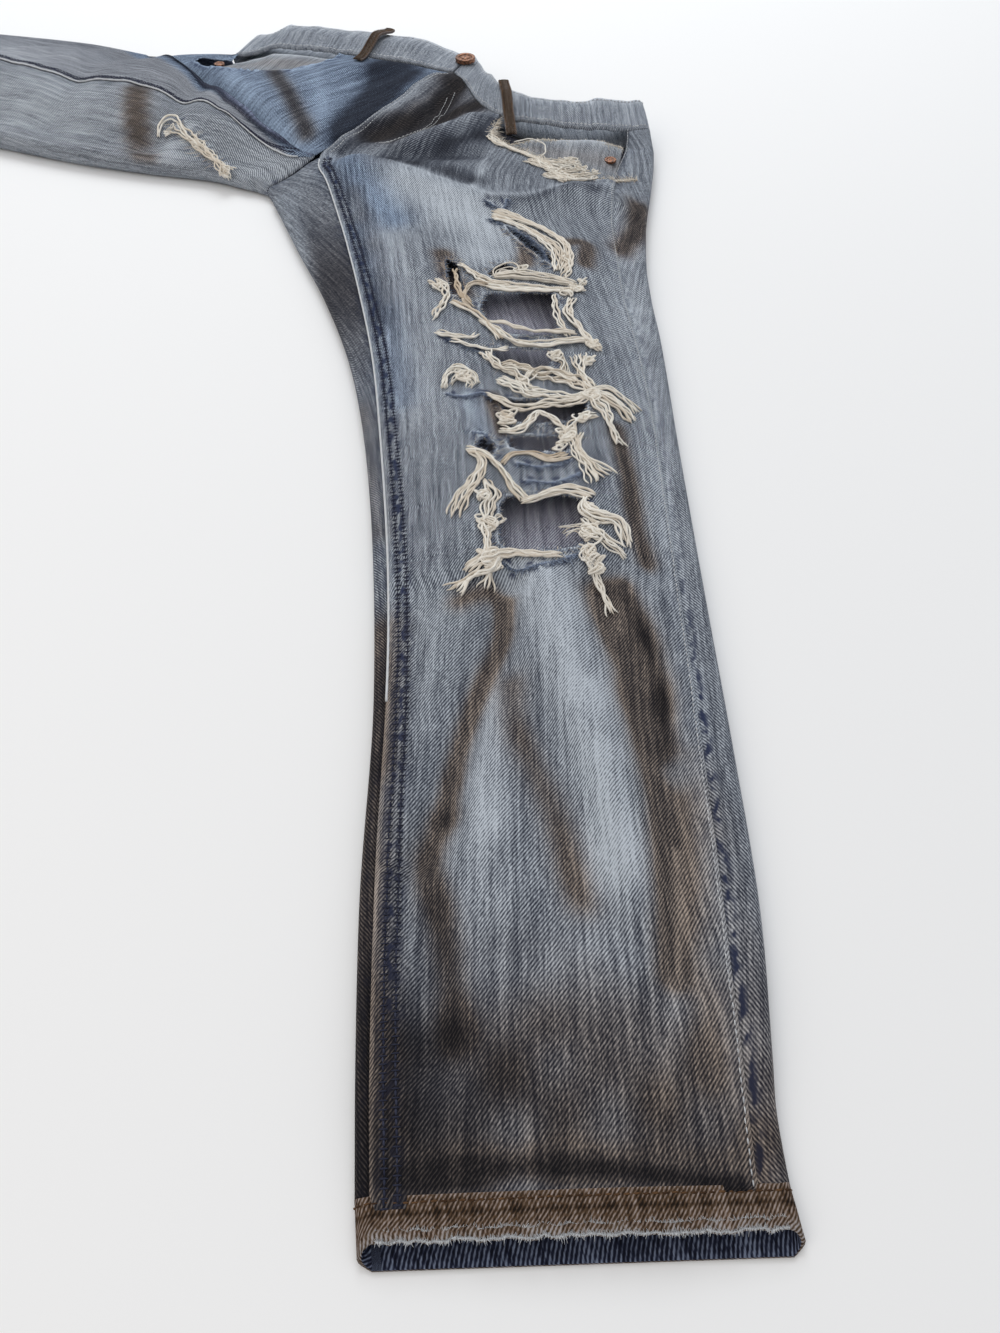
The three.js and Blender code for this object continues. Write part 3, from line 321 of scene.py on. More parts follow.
@dataclass(frozen=True)
class Lay:
    """How high the jeans lie: rounded at their sides, crowned further in, low beside the thigh."""

    edge: float = 4.5
    roll: float = 7.0
    crown_run: float = 55.0
    thigh_crown: float = 11.0
    shin_crown: float = 8.0
    hem_crown: float = 3.5
    seat_lift: float = 2.2
    waist_height: float = 19.0
    valley_height: float = 8.0

    def __post_init__(self) -> None:
        """Samples the edges that heights are measured from."""
        y_in, y_out = np.linspace(-21, -745, 40), np.linspace(-752, -120, 40)
        s_near, s_far = np.linspace(32, 760, 40), np.linspace(235, 760, 30)
        near = np.vstack([CORNER, swung(s_near, near_side(s_near))])
        lines = {
            "inner": np.stack([inner_side(y_in), y_in], -1),
            "outer": np.stack([outer_side(y_out), y_out], -1),
            "left_hip": np.vstack([(266, 50), left_hip(np.linspace(0, 1, 7))]),
            "right_hip": np.vstack([(-50, 256), right_hip(np.linspace(0, 1, 5))]),
            "near": near,
            "far": swung(s_far, far_side(s_far)),
        }
        object.__setattr__(self, "lines", lines)
        waist = [route(np.linspace(0, 1, 11)) for route in (left_waist, right_waist, left_top, right_top)]
        object.__setattr__(self, "waist_lines", waist)

    def rumple(self, p: Array) -> Array:
        """Small creases and unevenness of the upper layer."""
        x, y = p[..., 0], p[..., 1]
        uneven = 0.8 * UNEVEN(x, y, 52) + 0.45 * UNEVEN(x + 31, y, 21) + 0.16 * UNEVEN(x, y + 57, 8)
        return sum(f.lift(p) for f in SMALL_FOLDS) + uneven

    def floor(self, p: Array) -> Array:
        """Height of the lower layer's outer face: the seat rides on the back pockets and loops."""
        up = math.cos(HIP_TILT) * p[..., 0] + math.sin(HIP_TILT) * p[..., 1]
        across = np.abs(math.sin(HIP_TILT) * p[..., 0] - math.cos(HIP_TILT) * p[..., 1])
        return self.seat_lift * np.maximum(
            ease((across - 14) / 18) * ease((up + 50) / 25), ease((up - 118) / 20)
        )

    def crowned(self, p: Array, side: Array, radius: Array | float, crown: Array) -> Array:
        """Height of a rounded layer at a distance from its side."""
        inside = np.clip(side, 0, radius)
        rim = radius + np.sqrt(np.maximum(radius**2 - (radius - inside) ** 2, 0))
        lifted = crown * ease((side - radius) / self.crown_run)
        creases = sum(f.lift(p) for f in MAIN_FOLDS) * ease((side - radius) / 16)
        creases = creases + self.rumple(p) * ease((side - radius) / 8)
        return self.floor(p) + np.where(side < radius, rim, 2 * radius + lifted + creases)

    def body(self, p: Array) -> Array:
        """Height of the upper layer over the left leg and the hips."""
        x, y = p[..., 0], p[..., 1]
        side = nearest_edge([self.lines[k] for k in ("inner", "outer", "left_hip", "right_hip")], p)
        leg = mix(self.shin_crown, self.thigh_crown, ease((y + 560) / 200))
        free = self.crowned(p, side, self.edge, mix(self.hem_crown, leg, ease((y + 735) / 110)))
        near_waist = ease(1 - nearest_edge(self.waist_lines, p) / 26)
        lying = mix(free, np.minimum(free, self.waist_height), near_waist)
        beside = np.where((x + y > -40) & (x < 60), ease(1 - distance_to(thigh_fold.points[::6], p) / 36), 0)
        valley = np.minimum(lying, self.valley_height)
        return mix(lying, valley, beside * ease(np.hypot(x, y) / 45))

    def thigh(self, p: Array) -> Array:
        """Height of the upper layer over the right leg."""
        s = p @ LEG_AXIS
        crown = mix(mix(self.thigh_crown, 14, ease(s / 90)), self.hem_crown, ease((s - 350) / 380))
        side = nearest_edge([self.lines["near"], self.lines["far"]], p)
        return self.crowned(p, side, self.roll_at(s), crown)

    def roll_at(self, s: Array | float) -> Array:
        """Radius of the right leg's rounded sides."""
        return mix(self.edge, self.roll, ease((np.asarray(s, float) - 30) / 60))


LAY = Lay()


@dataclass(frozen=True)
class Settling:
    """How the cloth settles: the waist stands open towards its side corner, the hems sag nearly shut."""

    waist: float = 0.37
    waist_reach: float = 64.0
    button: Place = (132, 150)
    button_clear: float = 18.0
    button_fade: float = 34.0
    corner: float = 0.80
    corner_at: Place = (270, 40)
    corner_reach: float = 40.0
    hem: float = 0.46
    left_hem_from: float = -672.0
    left_hem_run: float = 52.0
    right_hem_from: float = 690.0
    right_hem_run: float = 48.0

    def raised(self, p: Array) -> Array:
        """The share by which the open waist stands higher at places."""
        x, y = p.T
        standing = np.zeros(len(p))
        hips = (p @ np.array([0.62, 0.78])) > 20
        if hips.any():
            tops = [left_top.points[::6], right_top.points[::6]]
            near_top = ease(1 - nearest_edge(tops, p[hips]) / self.waist_reach)
            away = np.hypot(x[hips] - self.button[0], y[hips] - self.button[1])
            standing[hips] = self.waist * near_top * ease((away - self.button_clear) / self.button_fade)
        from_corner = np.hypot(x - self.corner_at[0], y - self.corner_at[1])
        return standing + self.corner * bell(from_corner, self.corner_reach)

    def hem_share(self, p: Array) -> Array:
        """How far each place belongs to a hem, from 0 to 1."""
        left = ease((self.left_hem_from - p[:, 1]) / self.left_hem_run) * (p[:, 0] > -30)
        return left + ease((p @ LEG_AXIS - self.right_hem_from) / self.right_hem_run)

    def places(self, points: Array) -> Array:
        """Places once the cloth has settled."""
        x, y, z = points.T
        p = points[:, :2]
        return np.stack([x, y, z * (1 + self.raised(p)) * (1 - self.hem * self.hem_share(p))], -1)


SETTLING = Settling()


def lifted(plan: Array, height: Curve) -> Array:
    """Plan places raised to a height function."""
    return np.concatenate([plan, height(plan)[..., None]], -1)


def between(a: Array, b: Array, shares: Array) -> Array:
    """Plan places on straight courses from a to b, one row for each pair of ends."""
    return mix(a[:, None, :], b[:, None, :], np.asarray(shares, float)[None, :, None])


def round_side(side: Array, out: Array, radius: Array | float, turns: Array) -> Array:
    """Places round a rolled side, for turns from 0 on its top to pi on its underside."""
    radius = np.broadcast_to(np.asarray(radius, float), side.shape[:1])[:, None]
    reach = radius * (np.sin(turns) - 1)
    plan = side[:, None, :] + out[:, None, :] * reach[..., None]
    z = LAY.floor(side)[:, None] + radius * (1 + np.cos(turns))
    return np.concatenate([plan, z[..., None]], -1)


def spaced_by(length: float, pitch: Curve, start: float = 0.0, end: float = 1.0) -> Array:
    """Shares whose spacing along a length follows a pitch that may vary with the share."""
    fine = np.linspace(start, end, 2001)
    density = length / pitch(fine)
    total = np.concatenate([[0], np.cumsum((density[1:] + density[:-1]) / 2 * np.diff(fine))])
    count = max(int(round(total[-1])), 2)
    return np.interp(np.linspace(0, total[-1], count + 1), total, fine)


def resampled(rows: Array, pitch: Curve, smooth: int = 0) -> Array:
    """Rows respaced along their middles, so that they lie a pitch apart.

    Args:
        rows: dense rows of places, one for each course.
        pitch: spacing against the middle place.
        smooth: how many times neighbouring courses are averaged first.

    Returns:
        The respaced rows.
    """
    flat = rows.reshape(len(rows), -1)
    for _ in range(smooth):
        flat[1:-1] = (flat[:-2] + 2 * flat[1:-1] + flat[2:]) / 4
    middles = flat.reshape(rows.shape)[:, rows.shape[1] // 2]
    along = run_of(middles)
    steps = pitch(middles)
    shares = along / along[-1]
    places = spaced_by(along[-1], lambda q: np.interp(q, shares, steps))
    respaced = np.stack([np.interp(places, shares, column) for column in flat.T], -1)
    return respaced.reshape(-1, *rows.shape[1:])


# ---------------------------------------------------------------- meshes


@dataclass
class Weave:
    """A cloth grid: places, and what the finish reads at each of them."""

    rows: Array
    facing: int = 1
    looped: bool = False
    masks: dict[str, Array] = field(default_factory=dict)
    inner: dict[str, Array] = field(default_factory=dict)
    kept: Array | None = None

    def cloth_uv(self) -> Array:
        """Metres along and across the cloth at each place."""
        across = np.linalg.norm(np.diff(self.rows, axis=1), axis=-1)
        u = np.concatenate([np.zeros((len(self.rows), 1)), np.cumsum(across, axis=1)], 1)
        u -= u[:, u.shape[1] // 2 : u.shape[1] // 2 + 1]
        middle = self.rows[:, self.rows.shape[1] // 2]
        v = run_of(middle)
        return np.stack([u, np.broadcast_to(-v[:, None], u.shape)], -1) * MM

    def quads(self) -> Array:
        """The grid's faces, turned the way that it faces."""
        height, width = self.rows.shape[:2]
        i, j = np.meshgrid(
            np.arange(height - 1), np.arange(width if self.looped else width - 1), indexing="ij"
        )
        a, b = i * width + j, i * width + (j + 1) % width
        faces = np.stack([a, a + width, b + width, b], -1)
        if self.facing < 0:
            faces = faces[..., ::-1]
        faces = faces.reshape(-1, 4)
        return faces if self.kept is None else faces[self.kept.reshape(-1)]


def made_mesh(
    name: str,
    points: Array,
    faces: Sequence[Array],
    uv: Array | None = None,
    masks: dict[str, Array] | None = None,
) -> Object:
    """A mesh object from millimetre points.

    Args:
        name: the piece's name.
        points: places in millimetres.
        faces: arrays of indices, each of its own count of corners.
        uv: a pair for each point.
        masks: values for each point that the finish reads, by name.

    Returns:
        The linked object, at the origin.
    """
    mesh = bpy.data.meshes.new(name)
    mesh.from_pydata(
        (SETTLING.places(points) * MM).tolist(), [], [face for group in faces for face in group.tolist()]
    )
    if uv is not None:
        corners = np.empty(len(mesh.loops), np.int32)
        mesh.loops.foreach_get("vertex_index", corners)
        mesh.uv_layers.new(name="cloth").data.foreach_set("uv", uv[corners].astype(np.float32).ravel())
    for key, values in (masks or {}).items():
        layer = mesh.attributes.new(key, "FLOAT", "POINT")
        layer.data.foreach_set("value", values.astype(np.float32).ravel())
    mesh.shade_smooth()
    obj = bpy.data.objects.new(name, mesh)
    bpy.context.scene.collection.objects.link(obj)
    return obj


def apply_all(obj: Object) -> None:
    """Applies the object's modifiers in order."""
    bpy.ops.object.select_all(action="DESELECT")
    obj.select_set(True)
    bpy.context.view_layer.objects.active = obj
    for modifier in list(obj.modifiers):
        bpy.ops.object.modifier_apply(modifier=modifier.name)


def cloth_shell(name: str, weave: Weave, thickness: float, finishes: Sequence[Material]) -> Object:
    """A thin shell of cloth: its outer face, an inner face and its cut edges.

    Args:
        name: the piece's name.
        weave: the grid of its outer face.
        thickness: the cloth's, in millimetres.
        finishes: the outer face's and the inner face's.

    Returns:
        The finished object.
    """
    faces = weave.quads()
    used, faces = np.unique(faces, return_inverse=True)
    faces = faces.reshape(-1, 4)

    def picked(values: Array) -> Array:
        """A grid's values at the places that its faces use."""
        return values.reshape(-1, *values.shape[2:])[used]

    masks = {key: picked(values) for key, values in weave.masks.items()}
    obj = made_mesh(name, picked(weave.rows), [faces], picked(weave.cloth_uv()), masks)
    for finish in finishes:
        obj.data.materials.append(finish)
    solid = obj.modifiers.new("thickness", "SOLIDIFY")
    solid.thickness = thickness * MM
    solid.offset = -1
    solid.material_offset = len(finishes) - 1
    solid.use_rim = True
    apply_all(obj)
    return obj


def normals_of(rows: Array, facing: int, looped: bool = False) -> Array:
    """Unit normals of a grid, out of the side that it faces."""
    if looped:
        across = np.roll(rows, -1, 1) - np.roll(rows, 1, 1)
    else:
        across = np.gradient(rows, axis=1)
    return unit_of(np.cross(np.gradient(rows, axis=0), across) * facing)


def folded_strap(
    name: str, weave: Weave, thickness: float, finishes: Sequence[Material], edge_steps: int = 3
) -> Object:
    """A doubled strip, such as a waistband, whose long edges are rounded over.

    Args:
        name: the piece's name.
        weave: the grid of its outer face, its rows running along the strip.
        thickness: of the folded strip, in millimetres.
        finishes: the outer face's and, if it differs, the inner face's.
        edge_steps: facets round each edge.

    Returns:
        The finished object, closed all round.
    """
    rows = weave.rows
    normal = normals_of(rows, weave.facing, weave.looped)
    under = rows - normal * thickness
    turns = np.linspace(0, math.pi, edge_steps + 2)[1:-1]
    half = thickness / 2

    def edge(k: int, inward: int) -> list[Array]:
        """Rows round one long edge, from the outer face to the inner one."""
        out = unit_of(rows[k] - rows[inward])
        middle = rows[k] - normal[k] * half - out * half * 0.6
        return [middle + normal[k] * half * math.cos(t) + out * half * math.sin(t) for t in turns]

    ring = [*rows, *edge(-1, -2), *under[::-1], *edge(0, 1)[::-1]]
    ring = np.stack(ring + ring[:1])
    outer_mask = {}
    for key, v in weave.masks.items():
        hidden = weave.inner.get(key, v)[::-1]
        outer_mask[key] = np.concatenate([v, *[v[-1:]] * edge_steps, hidden, *[v[:1]] * edge_steps, v[:1]])
    closed = Weave(ring, weave.facing, weave.looped, outer_mask)
    quads = closed.quads()
    width, last = ring.shape[1], (len(ring) - 1) * ring.shape[1]
    faces = [np.where(quads >= last, quads - last, quads)]
    if not weave.looped:
        faces += strap_ends(len(rows), edge_steps, width, weave.facing)
    uv = closed.cloth_uv().reshape(-1, 2)[:last]
    masks = {key: v.reshape(-1)[:last] for key, v in outer_mask.items()}
    obj = made_mesh(name, ring.reshape(-1, 3)[:last], faces, uv, masks)
    for finish in finishes:
        obj.data.materials.append(finish)
    if len(finishes) > 1:
        slots = np.zeros(len(obj.data.polygons), np.int32)
        per_row = width if weave.looped else width - 1
        slots[(len(rows) + edge_steps - 1) * per_row : (2 * len(rows) + edge_steps - 1) * per_row] = 1
        obj.data.polygons.foreach_set("material_index", slots)
    return obj


def strap_ends(height: int, edge_steps: int, width: int, facing: int) -> list[Array]:
    """The faces that close both ends of a folded strip."""
    outer = np.arange(height)
    first_edge = height + np.arange(edge_steps)
    under = height + edge_steps + np.arange(height)[::-1]
    last_edge = 2 * height + edge_steps + np.arange(edge_steps)
    strips = np.stack([outer[:-1], outer[1:], under[1:], under[:-1]], -1)
    corners = np.stack([[outer[-1], *first_edge, under[-1]], [under[0], *last_edge, outer[0]]])
    made = []
    for column, turn in ((0, -facing), (width - 1, facing)):
        made += [(group * width + column)[:, ::turn] for group in (strips, corners)]
    return made


NOT_ALONG = (0.13, 0.21, 0.97)


def tubes(
    name: str, routes: Sequence[Array], radii: Sequence[Array], tones: Sequence[float], sides: int = 6
) -> Object:
    """Yarns: round tubes along routes, joined in one mesh.

    Args:
        name: the piece's name.
        routes: places along each yarn, in millimetres.
        radii: a radius for each place of each yarn.
        tones: a value for each yarn that its finish reads.
        sides: of each tube.

    Returns:
        The joined object.
    """
    turns = np.linspace(0, 2 * math.pi, sides, endpoint=False)
    points, faces, caps, uvs, tone_of, base = [], [], [], [], [], 0
    for route, radius, tone in zip(routes, radii, tones):
        along = unit_of(np.gradient(route, axis=0))
        side = unit_of(np.cross(along, NOT_ALONG))
        up = np.cross(side, along)
        ring = (
            side[:, None, :] * np.cos(turns)[None, :, None]
            + up[:, None, :] * np.sin(turns)[None, :, None]
        )
        points.append((route[:, None, :] + ring * np.asarray(radius)[:, None, None]).reshape(-1, 3))
        count = len(route)
        i, j = np.meshgrid(np.arange(count - 1), np.arange(sides), indexing="ij")
        a, b = base + i * sides + j, base + i * sides + (j + 1) % sides
        faces.append(np.stack([a, b, b + sides, a + sides], -1).reshape(-1, 4))
        caps.append(np.stack([base + np.arange(sides)[::-1], base + (count - 1) * sides + np.arange(sides)]))
        length = run_of(route)
        round_about, onward = np.arange(sides)[None, :] / sides, length[:, None] * MM
        uvs.append(np.stack(np.broadcast_arrays(round_about, onward), -1).reshape(-1, 2))
        tone_of.append(np.full(count * sides, tone))
        base += count * sides
    return made_mesh(
        name, np.concatenate(points), [np.concatenate(faces), np.concatenate(caps)], np.concatenate(uvs),
        {"tone": np.concatenate(tone_of)},
    )


# ---------------------------------------------------------------- finishes


@dataclass(frozen=True)
class Denim:
    """A washed denim: its colours from the deepest to the palest, and what wear and painted shade and
    highlight do to them.
    """

    name: str
    deep: Color
    middle: Color
    pale: Color
    # Fading also lifts painted highlight, and darkening lays painted shade.
    faded_by: float = 0.42
    darkened_by: float = -0.42
    worn_by: float = 0.50
    blotched_by: float = 0.30
    ink: Color = (0.030, 0.040, 0.085)
    bluer: Color = (0.62, 0.86, 1.18)
    # Painted shade: the grey multiplied into the deepest creases, and the brown of the warm shade.
    deeper: Color = (0.36, 0.36, 0.38)
    tanned: Color = (0.88, 0.66, 0.50)

    def material(self, twill: bpy.types.NodeTree) -> Material:
        """The material, with the shared twill in it."""
        g = Graph.material(self.name)
        weave = g.add("ShaderNodeGroup", node_tree=twill)
        g.join(g.add("ShaderNodeUVMap", uv_map="cloth").outputs["UV"], weave.inputs["Cloth"])
        fade, tan, dark, seam, worn = (g.attribute(k) for k in ("fade", "tan", "dark", "seam", "worn"))
        blotch = weave.outputs["Blotch"]
        level = g.maths("ADD", weave.outputs["Threads"], 0.5)
        # Paler where faded, and painted highlight on lit ridges; then darker under painted shade.
        level = g.maths("MULTIPLY_ADD", fade, self.faded_by, level)
        level = g.maths("MULTIPLY_ADD", dark, self.darkened_by, level)
        level = g.maths("MULTIPLY_ADD", worn, self.worn_by, level)
        uneven = g.maths("SUBTRACT", blotch, 0.5)
        level = g.maths("MULTIPLY_ADD", uneven, self.blotched_by, level)
        ramp = g.add("ShaderNodeValToRGB")
        g.join(level, ramp.inputs["Fac"])
        stops = ramp.color_ramp.elements
        stops[0].position, stops[0].color = 0.02, (*self.deep, 1)
        stops[1].position, stops[1].color = 1.0, (*self.pale, 1)
        stops.new(0.5).color = (*self.middle, 1)
        spots = g.maths("MULTIPLY", seam, g.edge(weave.outputs["Spots"], 0.44, 0.62))
        inked = g.blend(ramp.outputs["Color"], self.ink, spots)
        cool = g.blend(inked, self.bluer, g.attribute("blue"), "MULTIPLY")
        # Painted shade: the deepest creases greyed, then warm brown shade multiplied in.
        deep = g.blend(cool, self.deeper, g.maths("MULTIPLY", dark, dark), "MULTIPLY")
        warm = g.blend(deep, self.tanned, tan, "MULTIPLY")
        bsdf = g.surface(warm, 0.9, weave.outputs["Normal"])
        bsdf.inputs["Specular IOR Level"].default_value = 0.15
        return g.owner


@dataclass(frozen=True)
class Fibre:
    """Yarn or thread: a light and a dark tone, picked by each strand's own value."""

    name: str
    light: Color
    shade: Color
    twist: float = 900.0

    def material(self) -> Material:
        """The material, with its twist as fine relief."""
        g = Graph.material(self.name)
        uv = g.add("ShaderNodeUVMap", uv_map="cloth")
        turned = g.add("ShaderNodeMapping")
        turned.inputs["Scale"].default_value = (1.0, self.twist, 1.0)
        g.join(uv.outputs["UV"], turned.inputs["Vector"])
        split = g.add("ShaderNodeSeparateXYZ")
        g.join(turned.outputs["Vector"], split.inputs["Vector"])
        phase = g.maths("MULTIPLY_ADD", split.outputs["X"], 2 * math.pi, split.outputs["Y"])
        ply = g.maths("SINE", phase, 0.0)
        color = g.blend(self.shade, self.light, g.attribute("tone"))
        darker = g.blend(color, (0.72, 0.68, 0.62), g.maths("MULTIPLY_ADD", ply, 0.12, 0.12), "MULTIPLY")
        bump = g.add("ShaderNodeBump")
        bump.inputs["Strength"].default_value = 0.6
        bump.inputs["Distance"].default_value = 0.0003
        g.join(ply, bump.inputs["Height"])
        bsdf = g.surface(darker, 0.85, bump.outputs["Normal"])
        bsdf.inputs["Specular IOR Level"].default_value = 0.15
        return g.owner


@dataclass(frozen=True)
class Copper:
    """Dulled copper, browner where it has tarnished."""

    name: str = "dull_copper"

    def material(self) -> Material:
        """The material, mottled by noise."""
        g = Graph.material(self.name)
        place = g.add("ShaderNodeTexCoord")
        spots = g.add("ShaderNodeTexNoise")
        spots.inputs["Scale"].default_value = 700.0
        spots.inputs["Detail"].default_value = 3.0
        g.join(place.outputs["Object"], spots.inputs["Vector"])
        color = g.blend((0.30, 0.14, 0.08), (0.07, 0.042, 0.033), g.edge(spots.outputs["Fac"], 0.42, 0.62))
        bsdf = g.surface(color, 0.42, None)
        bsdf.inputs["Metallic"].default_value = 0.85
        return g.owner


class Graph:
    """Adds and joins the nodes of one material or node group."""

    def __init__(self, owner: bpy.types.ID, tree: bpy.types.NodeTree) -> None:
        """Keeps what owns the tree."""
        self.owner = owner
        self.tree = tree

    @classmethod
    def material(cls, name: str) -> "Graph":
        """An emptied material's tree."""
        made = bpy.data.materials.new(name)
        made.use_nodes = True
        made.node_tree.nodes.clear()
        return cls(made, made.node_tree)

    def add(self, kind: str, **settings: object) -> bpy.types.Node:
        """A node of a kind, with its settings."""
        node = self.tree.nodes.new(kind)
        for key, value in settings.items():
            setattr(node, key, value)
        return node

    def join(self, out: Socket, into: Socket) -> None:
        """A link between two sockets."""
        self.tree.links.new(out, into)

    def feed(self, socket: Socket, value: object) -> None:
        """Links a socket, or sets its constant."""
        if isinstance(value, Socket):
            self.join(value, socket)
        elif isinstance(value, tuple):
            socket.default_value = (*value, 1.0) if len(value) == 3 else value
        elif value is not None:
            socket.default_value = value

    def maths(self, operation: str, *values: object) -> Socket:
        """A math node's result."""
        node = self.add("ShaderNodeMath", operation=operation)
        for socket, value in zip(node.inputs, values):
            self.feed(socket, value)
        return node.outputs[0]

    def attribute(self, name: str) -> Socket:
        """A value that the mesh carries."""
        return self.add("ShaderNodeAttribute", attribute_name=name).outputs["Fac"]

    def edge(self, value: object, low: float, high: float) -> Socket:
        """0 below a range of the value, 1 above it, smooth between."""
        node = self.add("ShaderNodeMapRange", interpolation_type="SMOOTHSTEP")
        self.feed(node.inputs["Value"], value)
        node.inputs["From Min"].default_value = low
        node.inputs["From Max"].default_value = high
        return node.outputs["Result"]

    def blend(self, a: object, b: object, share: object, mode: str = "MIX") -> Socket:
        """Two colours blended."""
        node = self.add("ShaderNodeMix", data_type="RGBA", blend_type=mode)
        self.feed(node.inputs[0], share)
        self.feed(node.inputs[6], a)
        self.feed(node.inputs[7], b)
        return node.outputs[2]

    def noise(self, vector: Socket, stretch: Spot, turn: float = 0.0, detail: float = 2.0) -> Socket:
        """Noise stretched along the cloth."""
        placed = self.add("ShaderNodeMapping")
        placed.vector_type = "TEXTURE"
        placed.inputs["Rotation"].default_value = (0.0, 0.0, -turn)
        placed.inputs["Scale"].default_value = tuple(1.0 / s for s in stretch)
        self.join(vector, placed.inputs["Vector"])
        node = self.add("ShaderNodeTexNoise")
        node.inputs["Scale"].default_value = 1.0
        node.inputs["Detail"].default_value = detail
        self.join(placed.outputs["Vector"], node.inputs["Vector"])
        return node.outputs["Fac"]

    def surface(self, color: Socket, roughness: float, normal: Socket | None) -> bpy.types.Node:
        """The Principled surface on the output."""
        bsdf = self.add("ShaderNodeBsdfPrincipled")
        out = self.add("ShaderNodeOutputMaterial")
        self.feed(bsdf.inputs["Base Color"], color)
        bsdf.inputs["Roughness"].default_value = roughness
        if normal is not None:
            self.join(normal, bsdf.inputs["Normal"])
        self.join(bsdf.outputs["BSDF"], out.inputs["Surface"])
        return bsdf


def twill_group(pitch: float = 1.22, lean: float = 38.0) -> bpy.types.NodeTree:
    """The weave shared by every denim: diagonal ribs, uneven yarns and soft blotches.

    Args:
        pitch: between ribs, in millimetres.
        lean: of the ribs from the warp, in degrees.

    Returns:
        The node group, from cloth metres to threads, blotches and a normal.
    """
    tree = bpy.data.node_groups.new("twill_weave", "ShaderNodeTree")
    tree.interface.new_socket("Cloth", in_out="INPUT", socket_type="NodeSocketVector")
    for name, kind in (("Threads", "Float"), ("Blotch", "Float"), ("Spots", "Float"), ("Normal", "Vector")):
        tree.interface.new_socket(name, in_out="OUTPUT", socket_type=f"NodeSocket{kind}")
    g = Graph(tree, tree)
    cloth = g.add("NodeGroupInput").outputs["Cloth"]
    out = g.add("NodeGroupOutput")
    turned = g.add("ShaderNodeMapping")
    turned.inputs["Rotation"].default_value = (0.0, 0.0, math.radians(lean))
    g.join(cloth, turned.inputs["Vector"])
    ribs = g.add("ShaderNodeTexWave", wave_type="BANDS", bands_direction="X", wave_profile="SIN")
    ribs.inputs["Scale"].default_value = 2 * math.pi / 20 / (pitch * MM)
    ribs.inputs["Distortion"].default_value = 0.8
    ribs.inputs["Detail"].default_value = 1.0
    ribs.inputs["Detail Scale"].default_value = 1.2
    g.join(turned.outputs["Vector"], ribs.inputs["Vector"])
    rib = ribs.outputs["Fac"]
    dashes = g.noise(cloth, (1500.0, 520.0, 1.0), math.radians(lean), 1.0)
    yarns = g.noise(cloth, (1500.0, 90.0, 1.0), 0.0, 4.0)
    slubs = g.noise(cloth, (430.0, 15.0, 1.0), 0.0, 2.0)
    blotch = g.noise(cloth, (62.0, 40.0, 1.0), 0.0, 3.0)
    spots = g.noise(cloth, (230.0, 150.0, 1.0), 0.0, 1.0)
    threads = g.maths("MULTIPLY", g.maths("SUBTRACT", rib, 0.5), 0.62)
    for value, amount in ((dashes, 0.90), (yarns, 0.85), (slubs, 0.85)):
        threads = g.maths("MULTIPLY_ADD", g.maths("SUBTRACT", value, 0.5), amount, threads)
    bump = g.add("ShaderNodeBump")
    bump.inputs["Strength"].default_value = 0.55
    bump.inputs["Distance"].default_value = 0.0005
    relief = g.maths("MULTIPLY_ADD", yarns, 0.5, g.maths("MULTIPLY_ADD", dashes, 0.6, rib))
    g.join(relief, bump.inputs["Height"])
    g.join(threads, out.inputs["Threads"])
    g.join(blotch, out.inputs["Blotch"])
    g.join(spots, out.inputs["Spots"])
    g.join(bump.outputs["Normal"], out.inputs["Normal"])
    return tree


@dataclass
class Finishes:
    """Every material, made once."""

    made: dict[str, Material] = field(default_factory=dict)

    def __post_init__(self) -> None:
        """Makes the materials."""
        twill = twill_group()
        for denim in (
            Denim("washed_denim", (0.022, 0.027, 0.045), (0.158, 0.176, 0.210), (0.56, 0.61, 0.67)),
            Denim("grey_denim", (0.035, 0.040, 0.055), (0.190, 0.208, 0.238), (0.56, 0.60, 0.65)),
            Denim("inner_denim", (0.050, 0.050, 0.072), (0.225, 0.224, 0.280), (0.60, 0.61, 0.68)),
            # Browned and darkened: painted warm shade, for the hems and the belt loops.
            Denim("hem_denim", (0.020, 0.013, 0.009), (0.110, 0.074, 0.046), (0.38, 0.35, 0.35)),
            Denim("hem_inside", (0.003, 0.004, 0.010), (0.012, 0.015, 0.034), (0.17, 0.20, 0.28)),
            Denim("band_denim", (0.030, 0.036, 0.052), (0.175, 0.200, 0.240), (0.60, 0.64, 0.70)),
        ):
            self.made[denim.name] = denim.material(twill)
        for fibre in (
            Fibre("cream_yarn", (0.93, 0.90, 0.83), (0.60, 0.49, 0.37)),
            Fibre("blue_fray", (0.42, 0.50, 0.64), (0.035, 0.055, 0.13)),
            Fibre("navy_thread", (0.050, 0.055, 0.090), (0.014, 0.016, 0.034)),
            Fibre("brown_thread", (0.16, 0.085, 0.040), (0.028, 0.014, 0.009)),
            Fibre("pale_thread", (0.72, 0.74, 0.76), (0.46, 0.48, 0.52)),
        ):
            self.made[fibre.name] = fibre.material()
        self.made["dull_copper"] = Copper().material()

    def __getitem__(self, name: str) -> Material:
        """The material of that name."""
        return self.made[name]
